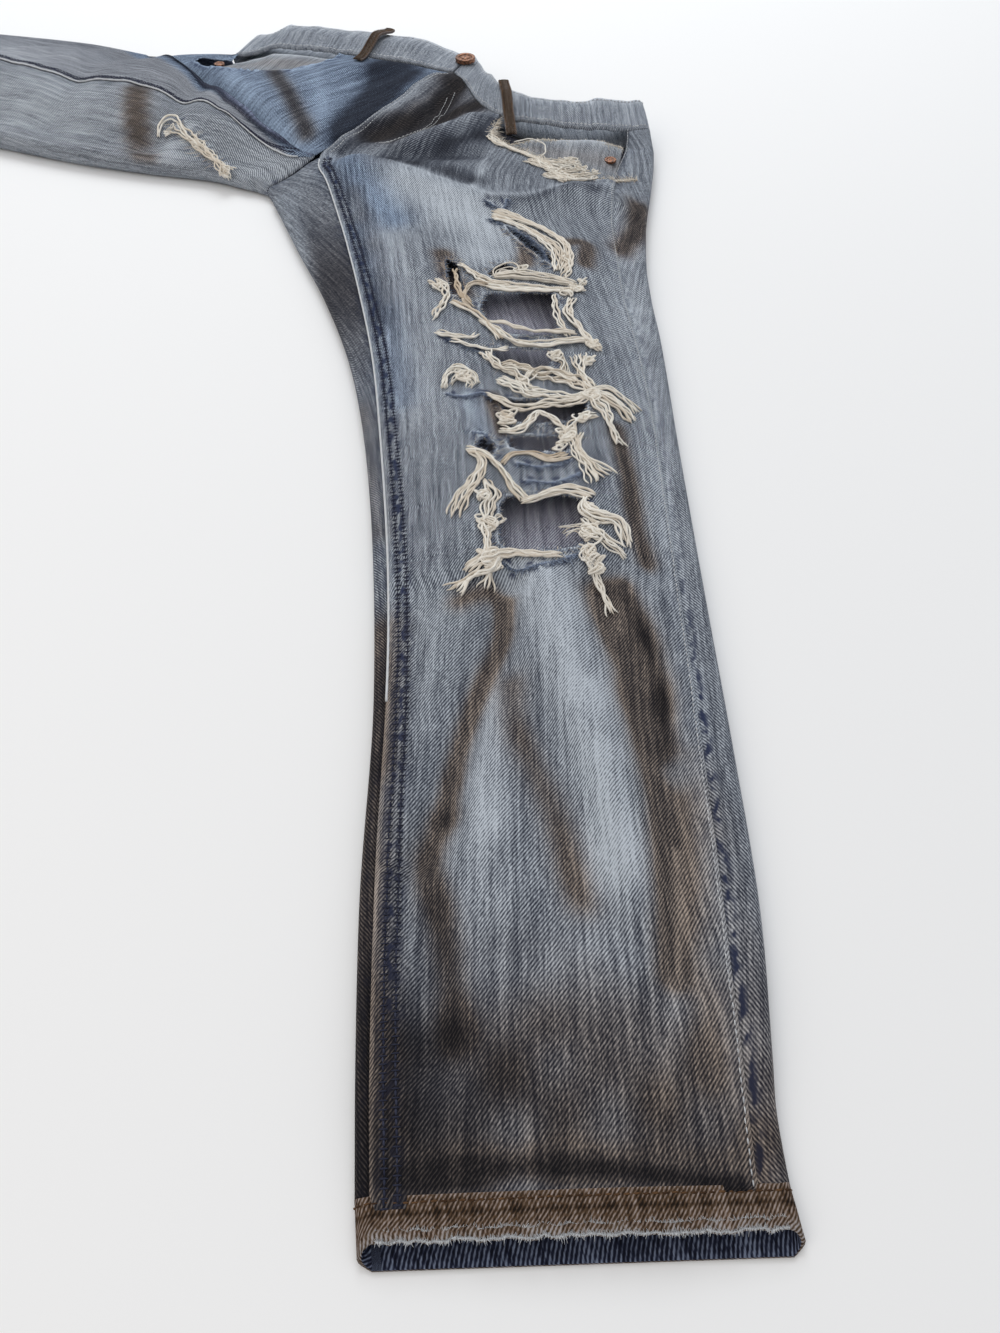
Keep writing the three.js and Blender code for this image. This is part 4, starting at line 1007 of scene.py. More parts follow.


# ---------------------------------------------------------------- wear, and painted shade and highlight


# Paler lines: fading and whiskers in the wash, and painted highlight where the thigh and the ridges between
# the troughs catch the light.
FADED = [
    fold([(70, -58), (98, -98), (116, -134), (112, -158)], 0.90, 21),
    fold([(50, -120), (57, -200), (60, -330)], 0.32, 13),
    fold([(84, -312), (88, -345)], 0.45, 7),
    fold([(133, -20), (122, -52), (112, -86)], 0.62, 2.6),
    fold([(25, -10), (80, -12), (131, -16)], 0.25, 1.6),
    fold([(50, -18), (84, -57), (123, -95)], 0.32, 3.0),
    fold([(125, -98), (150, -98), (172, -88), (190, -84), (214, -88)], 0.40, 3.0),
    fold([(216, -152), (207, -180), (203, -250)], 0.45, 7),
    fold([(184, -200), (186, -300), (172, -430)], 0.22, 14),
    fold([(100, -446), (108, -500), (112, -560), (110, -606)], 0.95, 12.5),
    fold([(98, -445), (114, -468)], 0.35, 14),
    fold([(74, -508), (65, -545), (62, -585)], 0.62, 8),
    fold([(50, -468), (45, -520)], 0.30, 9),
    fold([(30, -560), (28, -600), (25, -640)], 0.55, 3.2),
    fold([(56, -590), (52, -640)], 0.35, 9),
    fold([(136, -602), (129, -634), (120, -660), (108, -696)], 0.62, 2.4),
    fold([(96, -598), (98, -640)], 0.32, 13),
    fold([(153, -470), (151, -540)], 0.40, 3.5),
    fold([(26, -698), (60, -700), (86, -706)], 0.20, 8),
]
HIP_PALE = [
    fold([(-14, 28), (-34, 75), (-58, 130), (-70, 160)], 0.48, 8),
    fold([(8, 50), (8, 100), (2, 150), (-4, 175)], 0.34, 8),
    fold([(-20, 180), (-60, 190)], 0.35, 14),
]
# Painted shade in the right hip's valleys and along its fold.
HIP_SHADE = [
    fold([(-4, 40), (-14, 90), (-30, 150), (-36, 176)], 0.80, 7),
    fold([(28, 46), (50, 96), (66, 150)], 1.45, 15),
    fold([(18, 26), (48, 76), (88, 132)], 0.90, 9),
    fold([(60, 150), (90, 150)], 0.60, 14),
]
# Painted shadows in the fold troughs, round the rips and in the hip valley: a line, its warm brown, its
# darkening and its reach.
TROUGH_SHADOWS = [
    ([(84, -463), (80, -484), (68, -508), (58, -530), (50, -552), (43, -575)], 2.0, 0.46, 4.2),
    ([(43, -575), (35, -592), (38, -620), (40, -664)], 1.1, 0.34, 6.0),
    ([(140, -464), (145, -490), (146, -520), (141, -552)], 1.9, 0.50, 6.6),
    ([(130, -462), (133, -500), (134, -560), (132, -600), (127, -628), (122, -652)], 1.5, 0.34, 7.0),
    ([(80, -512), (80, -545), (88, -580), (92, -622)], 0.85, 0.38, 7.0),
    ([(162, -350), (161, -385), (157, -425), (158, -446)], 1.4, 0.55, 5.0),
    ([(166, -158), (180, -160), (176, -182)], 1.5, 0.50, 5.5),
    ([(141, -152), (137, -175)], 1.2, 0.30, 5.5),
    ([(84, -160), (86, -188), (92, -206)], 1.6, 0.55, 6.5),
    ([(97, -316), (99, -345)], 1.6, 0.55, 4.2),
    ([(232, -98), (222, -130), (206, -156)], 1.1, 0.60, 8.5),
    ([(62, -463), (78, -457)], 0.8, 0.20, 6.0),
    ([(52, 30), (75, 46), (95, 64), (112, 86), (125, 118)], 1.0, 1.50, 15.0),
    ([(88, 28), (114, 50), (140, 66)], 0.9, 1.20, 10.0),
    ([(152, 26), (153, -6)], 0.8, 0.90, 4.0),
    ([(66, 8), (82, 22)], 0.5, 0.70, 8.0),
]
# Painted warm brown shade: the troughs, a broad band over the lower shin and the hem, and the inseam's side.
WARM_SHADE_LINES = [fold(places, tan, reach) for places, tan, _, reach in TROUGH_SHADOWS] + [
    fold([(14, -690), (60, -684), (100, -692), (135, -706)], 0.80, 38),
    fold([(10, -704), (60, -708), (130, -722)], 1.0, 6),
    fold([(142, -580), (136, -640), (126, -690)], 0.60, 8),
    fold([(24, -470), (14, -560), (8, -640), (6, -700)], 1.1, 10),
    fold([(30, -60), (36, -120), (44, -200)], 0.25, 6),
    fold([(150, -560), (152, -640), (138, -705)], 0.30, 10),
    fold([(20, -300), (24, -400)], 0.40, 9),
]
# Painted shade: the troughs, the hip valley, the fold lines and the lower shin.
SHADE_LINES = [fold(places, dark, reach) for places, _, dark, reach in TROUGH_SHADOWS] + [
    fold([(14, -694), (60, -690), (100, -696), (135, -710)], 0.46, 38),
    fold([(12, -706), (70, -710), (128, -724)], 0.75, 3.4),
    fold([(56, -14), (88, -38), (112, -66)], 0.80, 13),
    fold([(78, -14), (120, -22)], 0.65, 11),
    fold([(94, -2), (124, 8), (142, 24)], 0.78, 12),
    fold([(132, 0), (146, 12)], 0.35, 10),
    fold([(140, -30), (150, -60), (150, -80)], 0.22, 12),
    fold([(14, -20), (24, -60), (34, -140), (40, -220)], 0.36, 10),
    fold([(172, -74), (186, -84), (202, -78)], 0.60, 3.6),
    fold([(122, -100), (150, -104), (172, -94), (214, -94)], 0.45, 4.0),
    fold([(160, -480), (160, -560), (150, -660)], 0.22, 9),
    fold([(158, 26), (190, 14), (228, 2)], 1.3, 13),
    fold([(243, 8), (232, -36), (218, -82)], 0.5, 2.6),
    fold([(24, -470), (14, -560), (8, -640), (6, -700)], 0.16, 10),
    fold([(30, -500), (24, -600), (20, -690)], 0.25, 14),
    fold([(144, -470), (148, -500), (147, -532), (141, -560)], 0.45, 3.0),
    fold([(30, -640), (34, -700)], 0.30, 26),
    fold([(22, 12), (40, 22), (52, 44)], 0.85, 9),
]


BLUED = [
    fold([(24, -20), (36, -60), (54, -104)], 0.55, 15),
    fold([(28, -110), (40, -200), (44, -300)], 0.35, 11),
    fold([(84, -312), (88, -345)], 0.20, 8),
    fold([(196, -20), (226, -12)], 0.30, 10),
]


def wear_and_shade(p: Array, seam: Array | None = None, worn: Array | None = None) -> dict[str, Array]:
    """What the denim reads at places: its fading and painted highlight, its painted warm shade and
    darkening, its ink and its wear.
    """
    none = np.zeros(p.shape[:-1])
    soft = 1 + 0.35 * UNEVEN(p[..., 0] + 200, p[..., 1], 17)
    return {
        "fade": np.clip(sum(f.lift(p) for f in FADED) * soft, 0, 1),
        "tan": np.clip(sum(f.lift(p) for f in WARM_SHADE_LINES) * soft, 0, 1),
        "dark": np.clip(sum(f.lift(p) for f in SHADE_LINES) * soft, 0, 1),
        "blue": np.clip(sum(f.lift(p) for f in BLUED), 0, 1),
        "seam": none if seam is None else seam,
        "worn": none if worn is None else worn,
    }


def plain_wear_and_shade(shape: tuple[int, ...], **levels: Array | float) -> dict[str, Array]:
    """Even wear and painted shade over a grid, apart from the levels given."""
    kinds = ("fade", "tan", "dark", "blue", "seam", "worn")
    return {k: np.broadcast_to(levels.get(k, 0.0), shape).astype(float) for k in kinds}


# ---------------------------------------------------------------- rows of each panel

INSEAM_END = -711.6
HIP_END = 0.94


def leg_keys() -> tuple[Curve, Curve]:
    """The outer and the inner side's Y for each Y on the left leg's inseam."""
    shin = [-232, -276, -322, -368, -412, -454, -492, -528, -562, -596, -628, -658, -686]
    low = (
        [(INSEAM_END, INSEAM_END - 14)]
        + [(y, float(mix(y - 14, y - 56, ease((y + 400) / 250)))) for y in shin[::-1]]
    )
    outer = [(-190, -256), (-152, -228), (-116, -200), (-82, -175), (-48, -150), (-10, -124)]
    inner = [(-190, -190), (-152, -153), (-116, -120), (-82, -92), (-48, -66), (-10, -50)]
    return through(low + outer), through([(INSEAM_END, INSEAM_END), (-232, -232)] + inner)


OUTER_Y, INNER_Y = leg_keys()


def on_curve(x_of: Curve, y: Array) -> Array:
    """Plan places on a line that gives X for each Y."""
    return np.stack([x_of(y), y], -1)


def sagged(waist: Route, t: Array, u: Array) -> Array:
    """How far a course of the hips follows the waist's sag: one row for each t, one column for each u."""
    dip = waist(u) - mix(waist(0.0), waist(1.0), np.asarray(u)[:, None])
    return ((1 - t) ** 1.2)[:, None, None] * dip[None]


def over_hip(waist: Route, starts: Array, sides: Array, t: Array, u: Array) -> Array:
    """Courses of the hips' upper layer."""
    return between(starts, sides, u) + sagged(waist, t, u)


def moved(p: Array, direction: Array, by: Array | float) -> Array:
    """Places moved along a direction."""
    return p + direction * np.asarray(by, float)[..., None] if np.ndim(by) else p + direction * by


def reach(rows: Array, from_last: bool = False) -> Array:
    """Millimetres from the first, or the last, column at each place."""
    steps = np.linalg.norm(np.diff(rows[..., :2], axis=1), axis=-1)
    if from_last:
        steps = steps[:, ::-1]
    far = np.concatenate([np.zeros((len(rows), 1)), np.cumsum(steps, axis=1)], 1)
    return far[:, ::-1] if from_last else far


def down(rows: Array, column: int = 0) -> Array:
    """Millimetres along a column from the first row, as a column of values."""
    return run_of(rows[:, column, :2])[:, None]


def felled(distance: Array, along: Array, width: float, lap: float = 1.1) -> Array:
    """Relief of a lapped seam: its edge, its stitch grooves and its puckers."""
    raised = lap * ease(distance / 0.9) * (1 - ease((distance - width) / 2.5))
    groove = 0.35 * (bell(distance - 0.45 * width, 0.9) + bell(distance - 0.85 * width, 0.9))
    pucker = np.sin(along * 2 * math.pi / 5.6 + 2.5 * UNEVEN(along, distance, 23))
    return raised - groove + 0.38 * pucker * bell(distance - 0.6 * width, 0.55 * width)


def left_front_weave() -> Weave:
    """The left front: hips, thigh and shin in one grid."""
    u = spaced_by(165, lambda q: np.where((q > 0.26) & (q < 0.87), 1.55, 2.7))
    t = np.linspace(0.006, HIP_END, 80)
    hips = over_hip(left_waist, rise(t), left_outseam(t), t, u)
    y = np.linspace(-9, INSEAM_END - 3, 400)
    leg = between(on_curve(inseam_x, y), on_curve(outseam_x, OUTER_Y(y)), u)
    rows = resampled(
        np.concatenate([hips, leg]), lambda m: np.where((m[:, 1] < -92) & (m[:, 1] > -480), 1.55, 2.6), 3
    )
    d, e, along = reach(rows), reach(rows, True), down(rows)
    on_leg = ease((8 - rows[..., 1]) / 20)
    z = LAY.body(rows) + 0.3
    z += mix(felled(d, along, 34, 1.2), felled(d, along, 11, 1.2), on_leg)
    z += (
        0.9 * ease(e / 0.8) * (1 - ease((e - 9) / 4))
        + 0.3 * np.sin(along * 0.46 + UNEVEN(along, e, 31)) * bell(e - 4, 4)
    )
    seam = on_leg * bell(d - 7, 4.2) + 0.25 * bell(e - 5, 4)
    worn = 1.4 * bell(d, 0.9) * on_leg + 0.85 * bell(e, 0.9) + 0.28 * bell(e - 5, 3.5)
    return Weave(np.concatenate([rows, z[..., None]], -1), 1, masks=wear_and_shade(rows, seam, worn))


def key_blend(keys: Sequence[Array], per_key: int) -> Array:
    """Smooth rows through key rows of the same count of places."""
    keys = np.stack(keys)
    ends = np.concatenate([2 * keys[:1] - keys[1:2], keys, 2 * keys[-1:] - keys[-2:-1]])
    made = [keys[:1]]
    t = (np.arange(1, per_key + 1) / per_key)[:, None, None]
    for a, b, c, d in zip(ends, ends[1:], ends[2:], ends[3:]):
        into, out = (c - a) / 2, (d - b) / 2
        made.append(cubic(b, c, into, out, t))
    return np.concatenate(made)


HEAD, TURN, UNDER, CLIMB, TOP = 9, 8, 26, 8, 10


def with_z(plan: Array, z: Array | float) -> Array:
    """Plan places at a height."""
    return np.concatenate([plan, np.broadcast_to(z, plan.shape[:-1])[..., None]], -1)


def floor_run(a: Array, b: Array, count: int, lift: float = 0.0) -> Array:
    """Places along the lower layer between two plan places, for one row or many, without its ends."""
    share = np.linspace(0, 1, count + 2)[1:-1]
    plan = between(np.atleast_2d(a), np.atleast_2d(b), share)
    hump = lift * np.sin(math.pi * share)[None, :] ** 1.5
    return with_z(plan, LAY.floor(plan) + hump)


def up_side(side: Array, seam: Array, radius: Array | float, height: Curve, past: float) -> Array:
    """From the floor round a side, and over the top to a seam and a little past it."""
    out = unit(seam, side)
    turned = round_side(side, out, radius, np.linspace(math.pi, 0, CLIMB))
    brow = turned[:, -1, :2]
    top = between(brow, moved(seam, -out, past), np.linspace(0, 1, TOP)[1:])
    beyond = np.maximum(0, 1 - np.linalg.norm(top - seam[:, None], axis=-1) / 2.5)
    return np.concatenate([turned, with_z(top, height(top) - 0.8 * beyond)], 1)


def down_side(
    seam: Array, side: Array, out: Array, radius: Array | float, height: Curve, past: float
) -> Array:
    """From a little before a seam on top to a side, and round it to the floor."""
    out = np.broadcast_to(np.asarray(out, float), side.shape)
    top = between(moved(seam, -out, past), moved(side, -out, radius), np.linspace(0, 1, HEAD)[:-1])
    near = np.maximum(0, 1 - np.linalg.norm(top - seam[:, None], axis=-1) / 2.5)
    turned = round_side(side, out, radius, np.linspace(0, math.pi, TURN))
    return np.concatenate([with_z(top, height(top) - 0.8 * near), turned], 1)


SEAT_CLOSE = 9.0


def hip_course(waist: Route, t: float, seam: Array, foot: Array, share: Array) -> Array:
    """Places on the floor from the seat seam towards a hip, sagging as the waist does."""
    dip = waist(share) - mix(waist(0.0), waist(1.0), share[:, None])
    plan = mix(seam, foot, share[:, None]) + (1 - t) ** 1.2 * dip
    return with_z(plan, LAY.floor(plan))


def close_head(waist: Route, t: float, seam: Array, foot: Array) -> Array:
    """The first part of a hip's floor course, closely spaced from the seat seam."""
    length = float(np.linalg.norm(foot - seam))
    return hip_course(waist, t, seam, foot, np.linspace(0.3, SEAT_CLOSE, HEAD - 1 + TURN) / length)


def hip_floor(waist: Route, t: float, seam: Array, foot: Array, count: int) -> Array:
    """The rest of a hip's floor course, sagging as the waist does."""
    start = SEAT_CLOSE / float(np.linalg.norm(foot - seam))
    return hip_course(waist, t, seam, foot, np.linspace(start, 1, count + 2)[1:-1])


EDGE = LAY.edge
LEFT_OUT = np.array([-0.84, -0.54])
FAR_OUT = LEG_ACROSS
NEAR_OUT = -LEG_ACROSS


def along_edge(places: Array) -> Callable[[float], Array]:
    """Places along an edge by distance."""
    route = Route(places, 8)
    return lambda distance: route(distance / route.length)


def corner_climb(edge_at: Callable[[float], Array], out: Array, q: float) -> Array:
    """A course's first part, where the seat seam climbs over the corner between the legs."""
    start = (0.75 - 0.25 * q) * math.pi
    t = np.linspace(0, 1, HEAD - 1 + TURN)
    at = np.stack([edge_at(float(mix(0.3, 3 + 4 * q, ease(w * 1.5)))) for w in t])
    turns = mix(start, math.pi, t)
    plan = at + np.asarray(out)[None] * (EDGE * (np.sin(turns) - 1))[:, None]
    return with_z(plan, LAY.floor(at) + EDGE * (1 + np.cos(turns)))


@dataclass(frozen=True)
class Corner:
    """How a back panel's courses start at the corner between the legs."""

    climb_out: Place
    crotch: Place
    aside: Place
    out: Place
    turning: Place

    def head(self, q: int, edge_at: Callable[[float], Array], height: Curve) -> Array:
        """The first part of course q: the first three climb over the corner, the others come down to it."""
        if q < 3:
            return corner_climb(edge_at, np.array(self.climb_out), q)
        k = q - 3
        seam = np.array([(-31, -17), (-16, -8), self.crotch][k]) + np.array(self.aside) * 0.4
        out = np.array(self.out) + np.array(self.turning) * k
        return down_side(seam[None], edge_at(16 + 7 * k)[None], out, EDGE, height, 0.0)[0]


LEFT_CORNER = Corner((-0.84, -0.54), (2.5, 1.5), (0.5, -0.85), (-0.92, -0.39), (-0.03, 0.08))
RIGHT_CORNER = Corner((-0.72, -0.69), (1.5, 4.0), (-0.5, 0.85), (-0.6, -0.8), (0.05, -0.03))


def left_back_weave() -> Weave:
    """The left back below its yoke: seat, thigh and shin, with the sides rolled up onto the top."""
    keys = []
    for share in np.linspace(0, 1, 5):
        t = float(mix(0.206, 0.96, share))
        seam = seat_seam(mix(0.274, 0.96, share))
        side, outseam = left_hip(t), left_outseam(t)
        foot = side - unit(outseam, side) * EDGE
        climb = up_side(side[None], outseam[None], EDGE, LAY.body, 2.0)[0]
        head, rest = close_head(left_waist, t, seam, foot), hip_floor(left_waist, t, seam, foot, UNDER)
        keys.append(np.concatenate([head, rest, climb]))
    y0 = np.array([-9.0])
    first_outer, first_seam = on_curve(outer_side, OUTER_Y(y0))[0], on_curve(outseam_x, OUTER_Y(y0))[0]
    edge_at = along_edge(LAY.lines["inner"][:9])
    for q in range(6):
        share = (q + 1) / 7
        side, outseam = mix(left_hip(1.0), first_outer, share), mix(left_outseam(1.0), first_seam, share)
        foot = side - unit(outseam, side) * EDGE
        head = LEFT_CORNER.head(q, edge_at, LAY.body)
        climb = up_side(side[None], outseam[None], EDGE, LAY.body, 2.0)[0]
        keys.append(np.concatenate([head, floor_run(head[-1, :2], foot, UNDER)[0], climb]))
    y = np.linspace(-9, INSEAM_END - 3, 340)
    inner, outer = on_curve(inner_side, INNER_Y(y)), on_curve(outer_side, OUTER_Y(y))
    seams = on_curve(outseam_x, OUTER_Y(y))
    head = down_side(on_curve(inseam_x, y), inner, np.array([-1.0, 0.0]), EDGE, LAY.body, 2.0)
    foot = moved(outer, unit(seams, outer), -EDGE)
    hump = 9.0 * ease((-60 - y) / 90) * ease((y + 560) / 110)
    floor = floor_run(head[:, -1, :2], foot, UNDER)
    floor[..., 2] += hump[:, None] * np.sin(math.pi * np.linspace(0, 1, UNDER + 2)[1:-1]) ** 1.5
    leg = np.concatenate([head, floor, up_side(outer, seams, EDGE, LAY.body, 2.0)], 1)
    start = key_blend([*keys, leg[0]], 10)
    rows = resampled(np.concatenate([start, leg[1:]]), lambda m: np.full(len(m), 2.9))
    d, e = reach(rows), reach(rows, True)
    low = ease((-420 - rows[..., 1]) / 130)
    seam = 0.5 * bell(d - 2, 4) + mix(0.40, 1.1, low) * bell(e - 4.2, 2.6)
    masks = wear_and_shade(rows[..., :2], seam, 0.35 * bell(e - 4, 2.2))
    # Painted shade and warm brown shade on the rolled inner side, heaviest round the seat and towards the
    # hem.
    flank = ease((34 - d) / 12) * ease((e - 60) / 20)
    shaded = bell(rows[..., 1] + 165, 75)
    masks["dark"] = np.clip(masks["dark"] + flank * (0.18 + 0.55 * shaded + 0.35 * low), 0, 1)
    masks["tan"] = np.clip(masks["tan"] + flank * (0.5 * shaded + 0.7 * low), 0, 1)
    return Weave(rows, -1, masks=masks)


def right_keys() -> tuple[Curve, Curve]:
    """The far and the near side's s for each s on the right leg's rolled inseam."""
    table = [
        (8, 236, 58), (28, 244, 72), (52, 256, 88), (80, 272, 104), (112, 292, 126), (146, 316, 152),
        (182, 342, 184), (220, 370, 220), (266, 402, 266), (318, 440, 318), (374, 480, 374), (432, 524, 432),
        (492, 569, 492), (552, 614, 552), (612, 656, 612), (672, 698, 672), (729, 729, 729), (733, 733, 733),
    ]
    return through([(a, b) for a, b, _ in table]), through([(a, c) for a, _, c in table])


FAR_S, NEAR_S = right_keys()
RIGHT_HEAD = 44
OUTSEAM_START = 236.0
RIGHT_LEG_SPAN = (8, 733)
RIGHT_LEG_ROWS = 330


def hip_under(t: Array | float) -> Array:
    """Where the right front ends under the hip."""
    side = right_hip(t)
    return side + unit(side, seat_seam(0.9 * np.asarray(t, float))) * (EDGE + 12)


def under_side(side: Array, out: Array, radius: Array | float, seam: Array) -> Array:
    """Round a side to the floor, and along the floor to a seam."""
    turned = round_side(side, np.broadcast_to(out, side.shape), radius, np.linspace(0, math.pi, TURN))
    run = between(turned[:, -1, :2], seam, np.linspace(0, 1, 7)[1:])
    return np.concatenate([turned, with_z(run, LAY.floor(run))], 1)


def right_front_weave() -> Weave:
    """The right front: hips, the overhanging fold where the thigh lies beside them, and the leg."""
    u = spaced_by(200, lambda q: np.full_like(q, 200 / (RIGHT_HEAD - 1)))[:RIGHT_HEAD]
    keys = []
    for t in np.linspace(0.022, HIP_END, 26):
        side = right_hip(t)
        out = unit(hip_under(t), side)
        brow = side - out * EDGE
        top = over_hip(right_waist, rise(t)[None], brow[None], np.array([t]), u)[0]
        z = LAY.body(top) + 0.3
        under = under_side(side[None], out[None], EDGE, hip_under(t)[None])[0]
        keys.append(np.concatenate([with_z(top, z)[:-1], under]))
    first_far = swung(OUTSEAM_START, far_side(OUTSEAM_START))
    first_under = swung(OUTSEAM_START, rolled_outseam(OUTSEAM_START))
    fold_at = thigh_fold(u)
    for by, rise_share, tuck in (
        (-9, 0.0, 0.0), (-4, 0.0, 0.6), (0.5, 0.0, 1.4), (-1.2, 0.35, 0.8), (-3.2, 0.75, 0.3),
        (-1.2, 1.0, -0.4), (4.0, 1.0, 0.0),
    ):
        share = float(np.clip(0.5 + by / 12, 0, 1)) if rise_share < 1 or by > 0 else 0.6
        swell = by * np.sin(math.pi * np.minimum(u + 0.12, 1))
        top = fold_at + LEFT_OUT * swell[:, None]
        z = mix(LAY.body(top), LAY.thigh(top), rise_share) - tuck * ease(u * 5)
        side, seam = mix(right_hip(1.0), first_far, share), mix(hip_under(1.0), first_under, share)
        radius = float(mix(EDGE, LAY.roll, share))
        under = under_side(side[None], FAR_OUT, radius, seam[None])[0]
        keys.append(np.concatenate([with_z(top, z)[:-1], under]))
    start = key_blend(keys, 5)
    s = np.linspace(*RIGHT_LEG_SPAN, RIGHT_LEG_ROWS)
    far, seam = swung(FAR_S(s), far_side(FAR_S(s))), swung(s, rolled_inseam(s))
    radius = LAY.roll_at(FAR_S(s))
    top = between(seam, moved(far, -FAR_OUT, radius), u)
    d, along = reach(top), down(top)
    z = LAY.thigh(top) + 0.3 + felled(d, along, 11, 1.2)
    under = under_side(far, FAR_OUT, radius, swung(FAR_S(s), rolled_outseam(FAR_S(s))))
    leg = np.concatenate([with_z(top, z)[:, :-1], under], 1)
    rows = resampled(np.concatenate([start, leg]), lambda m: np.full(len(m), 2.6))
    p = rows[..., :2]
    d = reach(rows)
    on_leg = ease((-2 - (p @ -LEFT_OUT - fold_at[len(u) // 2] @ -LEFT_OUT)) / 6)
    s_at, n_at = p @ LEG_AXIS, p @ LEG_ACROSS
    near_fold = bell(distance_to(thigh_fold.points[::6], p), 3.5)
    masks = wear_and_shade(p, bell(d - 7, 4.2) * ease((s_at - 10) / 20) * on_leg, 1.2 * bell(d, 0.9) * on_leg)
    knee = 0.55 * bell(np.hypot((s_at - 330) / 1.9, n_at - 45), 45)
    hips = 1 - on_leg
    # Paler strips and painted shade on the hips.
    pale = sum(f.lift(p) for f in HIP_PALE) * hips
    deep = sum(f.lift(p) for f in HIP_SHADE) * hips
    beside_fold = 0.30 * bell(np.hypot((s_at - 90) / 2, n_at - 40), 40)
    masks["fade"] = np.clip(pale + (knee + beside_fold) * on_leg, 0, 1)
    # Painted shade in the crease of the thigh fold and down the shin.
    in_fold = 1.2 * near_fold * ease(np.hypot(p[..., 0], p[..., 1]) / 40)
    masks["dark"] = np.clip(deep + in_fold + 0.15 * bell(s_at - 560, 120), 0, 1)
    # Painted warm brown shade along the fold's edge, towards the hem and thinly over the leg.
    fold_edge_shade = HIP_SHADE[0].lift(p)
    tanned = 0.3 * bell(s_at - 690, 60) * on_leg + 0.7 * fold_edge_shade * hips + 0.25 * on_leg
    masks["tan"] = np.clip(tanned, 0, 1)
    masks["blue"] = np.clip(0.55 * hips + 0.10 * on_leg - 0.8 * fold_edge_shade * hips, 0, 1)
    return Weave(rows, -1, masks=masks)


def right_back_weave() -> Weave:
    """The right back below its yoke: seat and leg, rolled up onto the near side."""
    keys = []
    for share in np.linspace(0, 1, 5):
        t = float(mix(0.206, 0.96, share))
        seam, end = seat_seam(mix(0.274, 0.96, share)), hip_under(t)
        head, rest = close_head(right_waist, t, seam, end), hip_floor(right_waist, t, seam, end, UNDER)
        keys.append(np.concatenate([head, rest, with_z(end, LAY.floor(end))[None]]))
    first = swung(OUTSEAM_START, rolled_outseam(OUTSEAM_START))
    edge_at = along_edge(LAY.lines["near"][:9])
    for q in range(6):
        share = (q + 1) / 7
        end = mix(hip_under(1.0), first, share)
        head = RIGHT_CORNER.head(q, edge_at, LAY.thigh)
        rest = floor_run(head[-1, :2], end, UNDER)[0]
        keys.append(np.concatenate([head, rest, with_z(end, LAY.floor(end))[None]]))
    s = np.linspace(*RIGHT_LEG_SPAN, RIGHT_LEG_ROWS)
    near, radius = swung(NEAR_S(s), near_side(NEAR_S(s))), LAY.roll_at(NEAR_S(s))
    end = swung(FAR_S(s), rolled_outseam(FAR_S(s)))
    head = down_side(swung(s, rolled_inseam(s)), near, NEAR_OUT, radius, LAY.thigh, 2.0)
    floor = floor_run(head[:, -1, :2], end, UNDER)
    leg = np.concatenate([head, floor, with_z(end, LAY.floor(end))[:, None]], 1)
    start = key_blend([*keys, leg[0]], 10)
    rows = resampled(np.concatenate([start, leg[1:]]), lambda m: np.full(len(m), 2.6))
    p = rows[..., :2]
    d, s_at = reach(rows), rows[..., :2] @ LEG_AXIS
    top = ease((rows[..., 2] - 8) / 8)
    pale = 0.45 * bell(np.hypot((s_at - 250) / 2, p @ LEG_ACROSS + 5), 40) + 0.3 * bell(s_at - 30, 30)
    pale += leg_fold([(106, -42), (116, -20)], 0.6, 10).lift(p)
    # Painted brown shadow of the fold over the rolled near side, also darkened.
    fold_shadow = np.clip(leg_fold([(122, -46), (150, -12), (176, 32)], 1.7, 8).lift(p), 0, 1)
    masks = plain_wear_and_shade(
        p.shape[:-1], fade=pale * top, tan=fold_shadow * top, dark=0.62 * fold_shadow * top, seam=0.6 * bell(d - 2, 4)
    )
    return Weave(rows, 1, masks=masks)


def yoke_weave(waist: Route, left: bool) -> Weave:
    """A back yoke: the courses between the waist seam and the back panel, above the yoke seam."""
    rows = []
    for share in np.linspace(0, 1, 18):
        t, seam = float(mix(0.006, 0.212, share)), seat_seam(mix(0.006, 0.28, share))
        side = left_hip(t) if left else right_hip(t)
        outseam = left_outseam(t) if left else hip_under(t)
        foot = side - unit(outseam, side) * EDGE if left else outseam
        parts = [close_head(waist, t, seam, foot), hip_floor(waist, t, seam, foot, UNDER)]
        if left:
            parts.append(up_side(side[None], outseam[None], EDGE, LAY.body, 2.0)[0])
        else:
            parts.append(with_z(foot, LAY.floor(foot))[None])
        rows.append(np.concatenate(parts))
    rows = np.stack(rows)
    rows[..., 2] -= 0.6 * (rows[..., 2] < 5)
    rows[..., 2] = np.maximum(rows[..., 2], 0.05)
    masks = wear_and_shade(rows[..., :2]) if left else plain_wear_and_shade(rows.shape[:-1])
    return Weave(rows, -1 if left else 1, masks=masks)


@dataclass(frozen=True)
class BandShape:
    """How many rows half of the waistband has, and places in each."""

    rows: int = 9
    front_places: int = 64
    side_places: int = 10
    back_places: int = 46


BAND = BandShape()


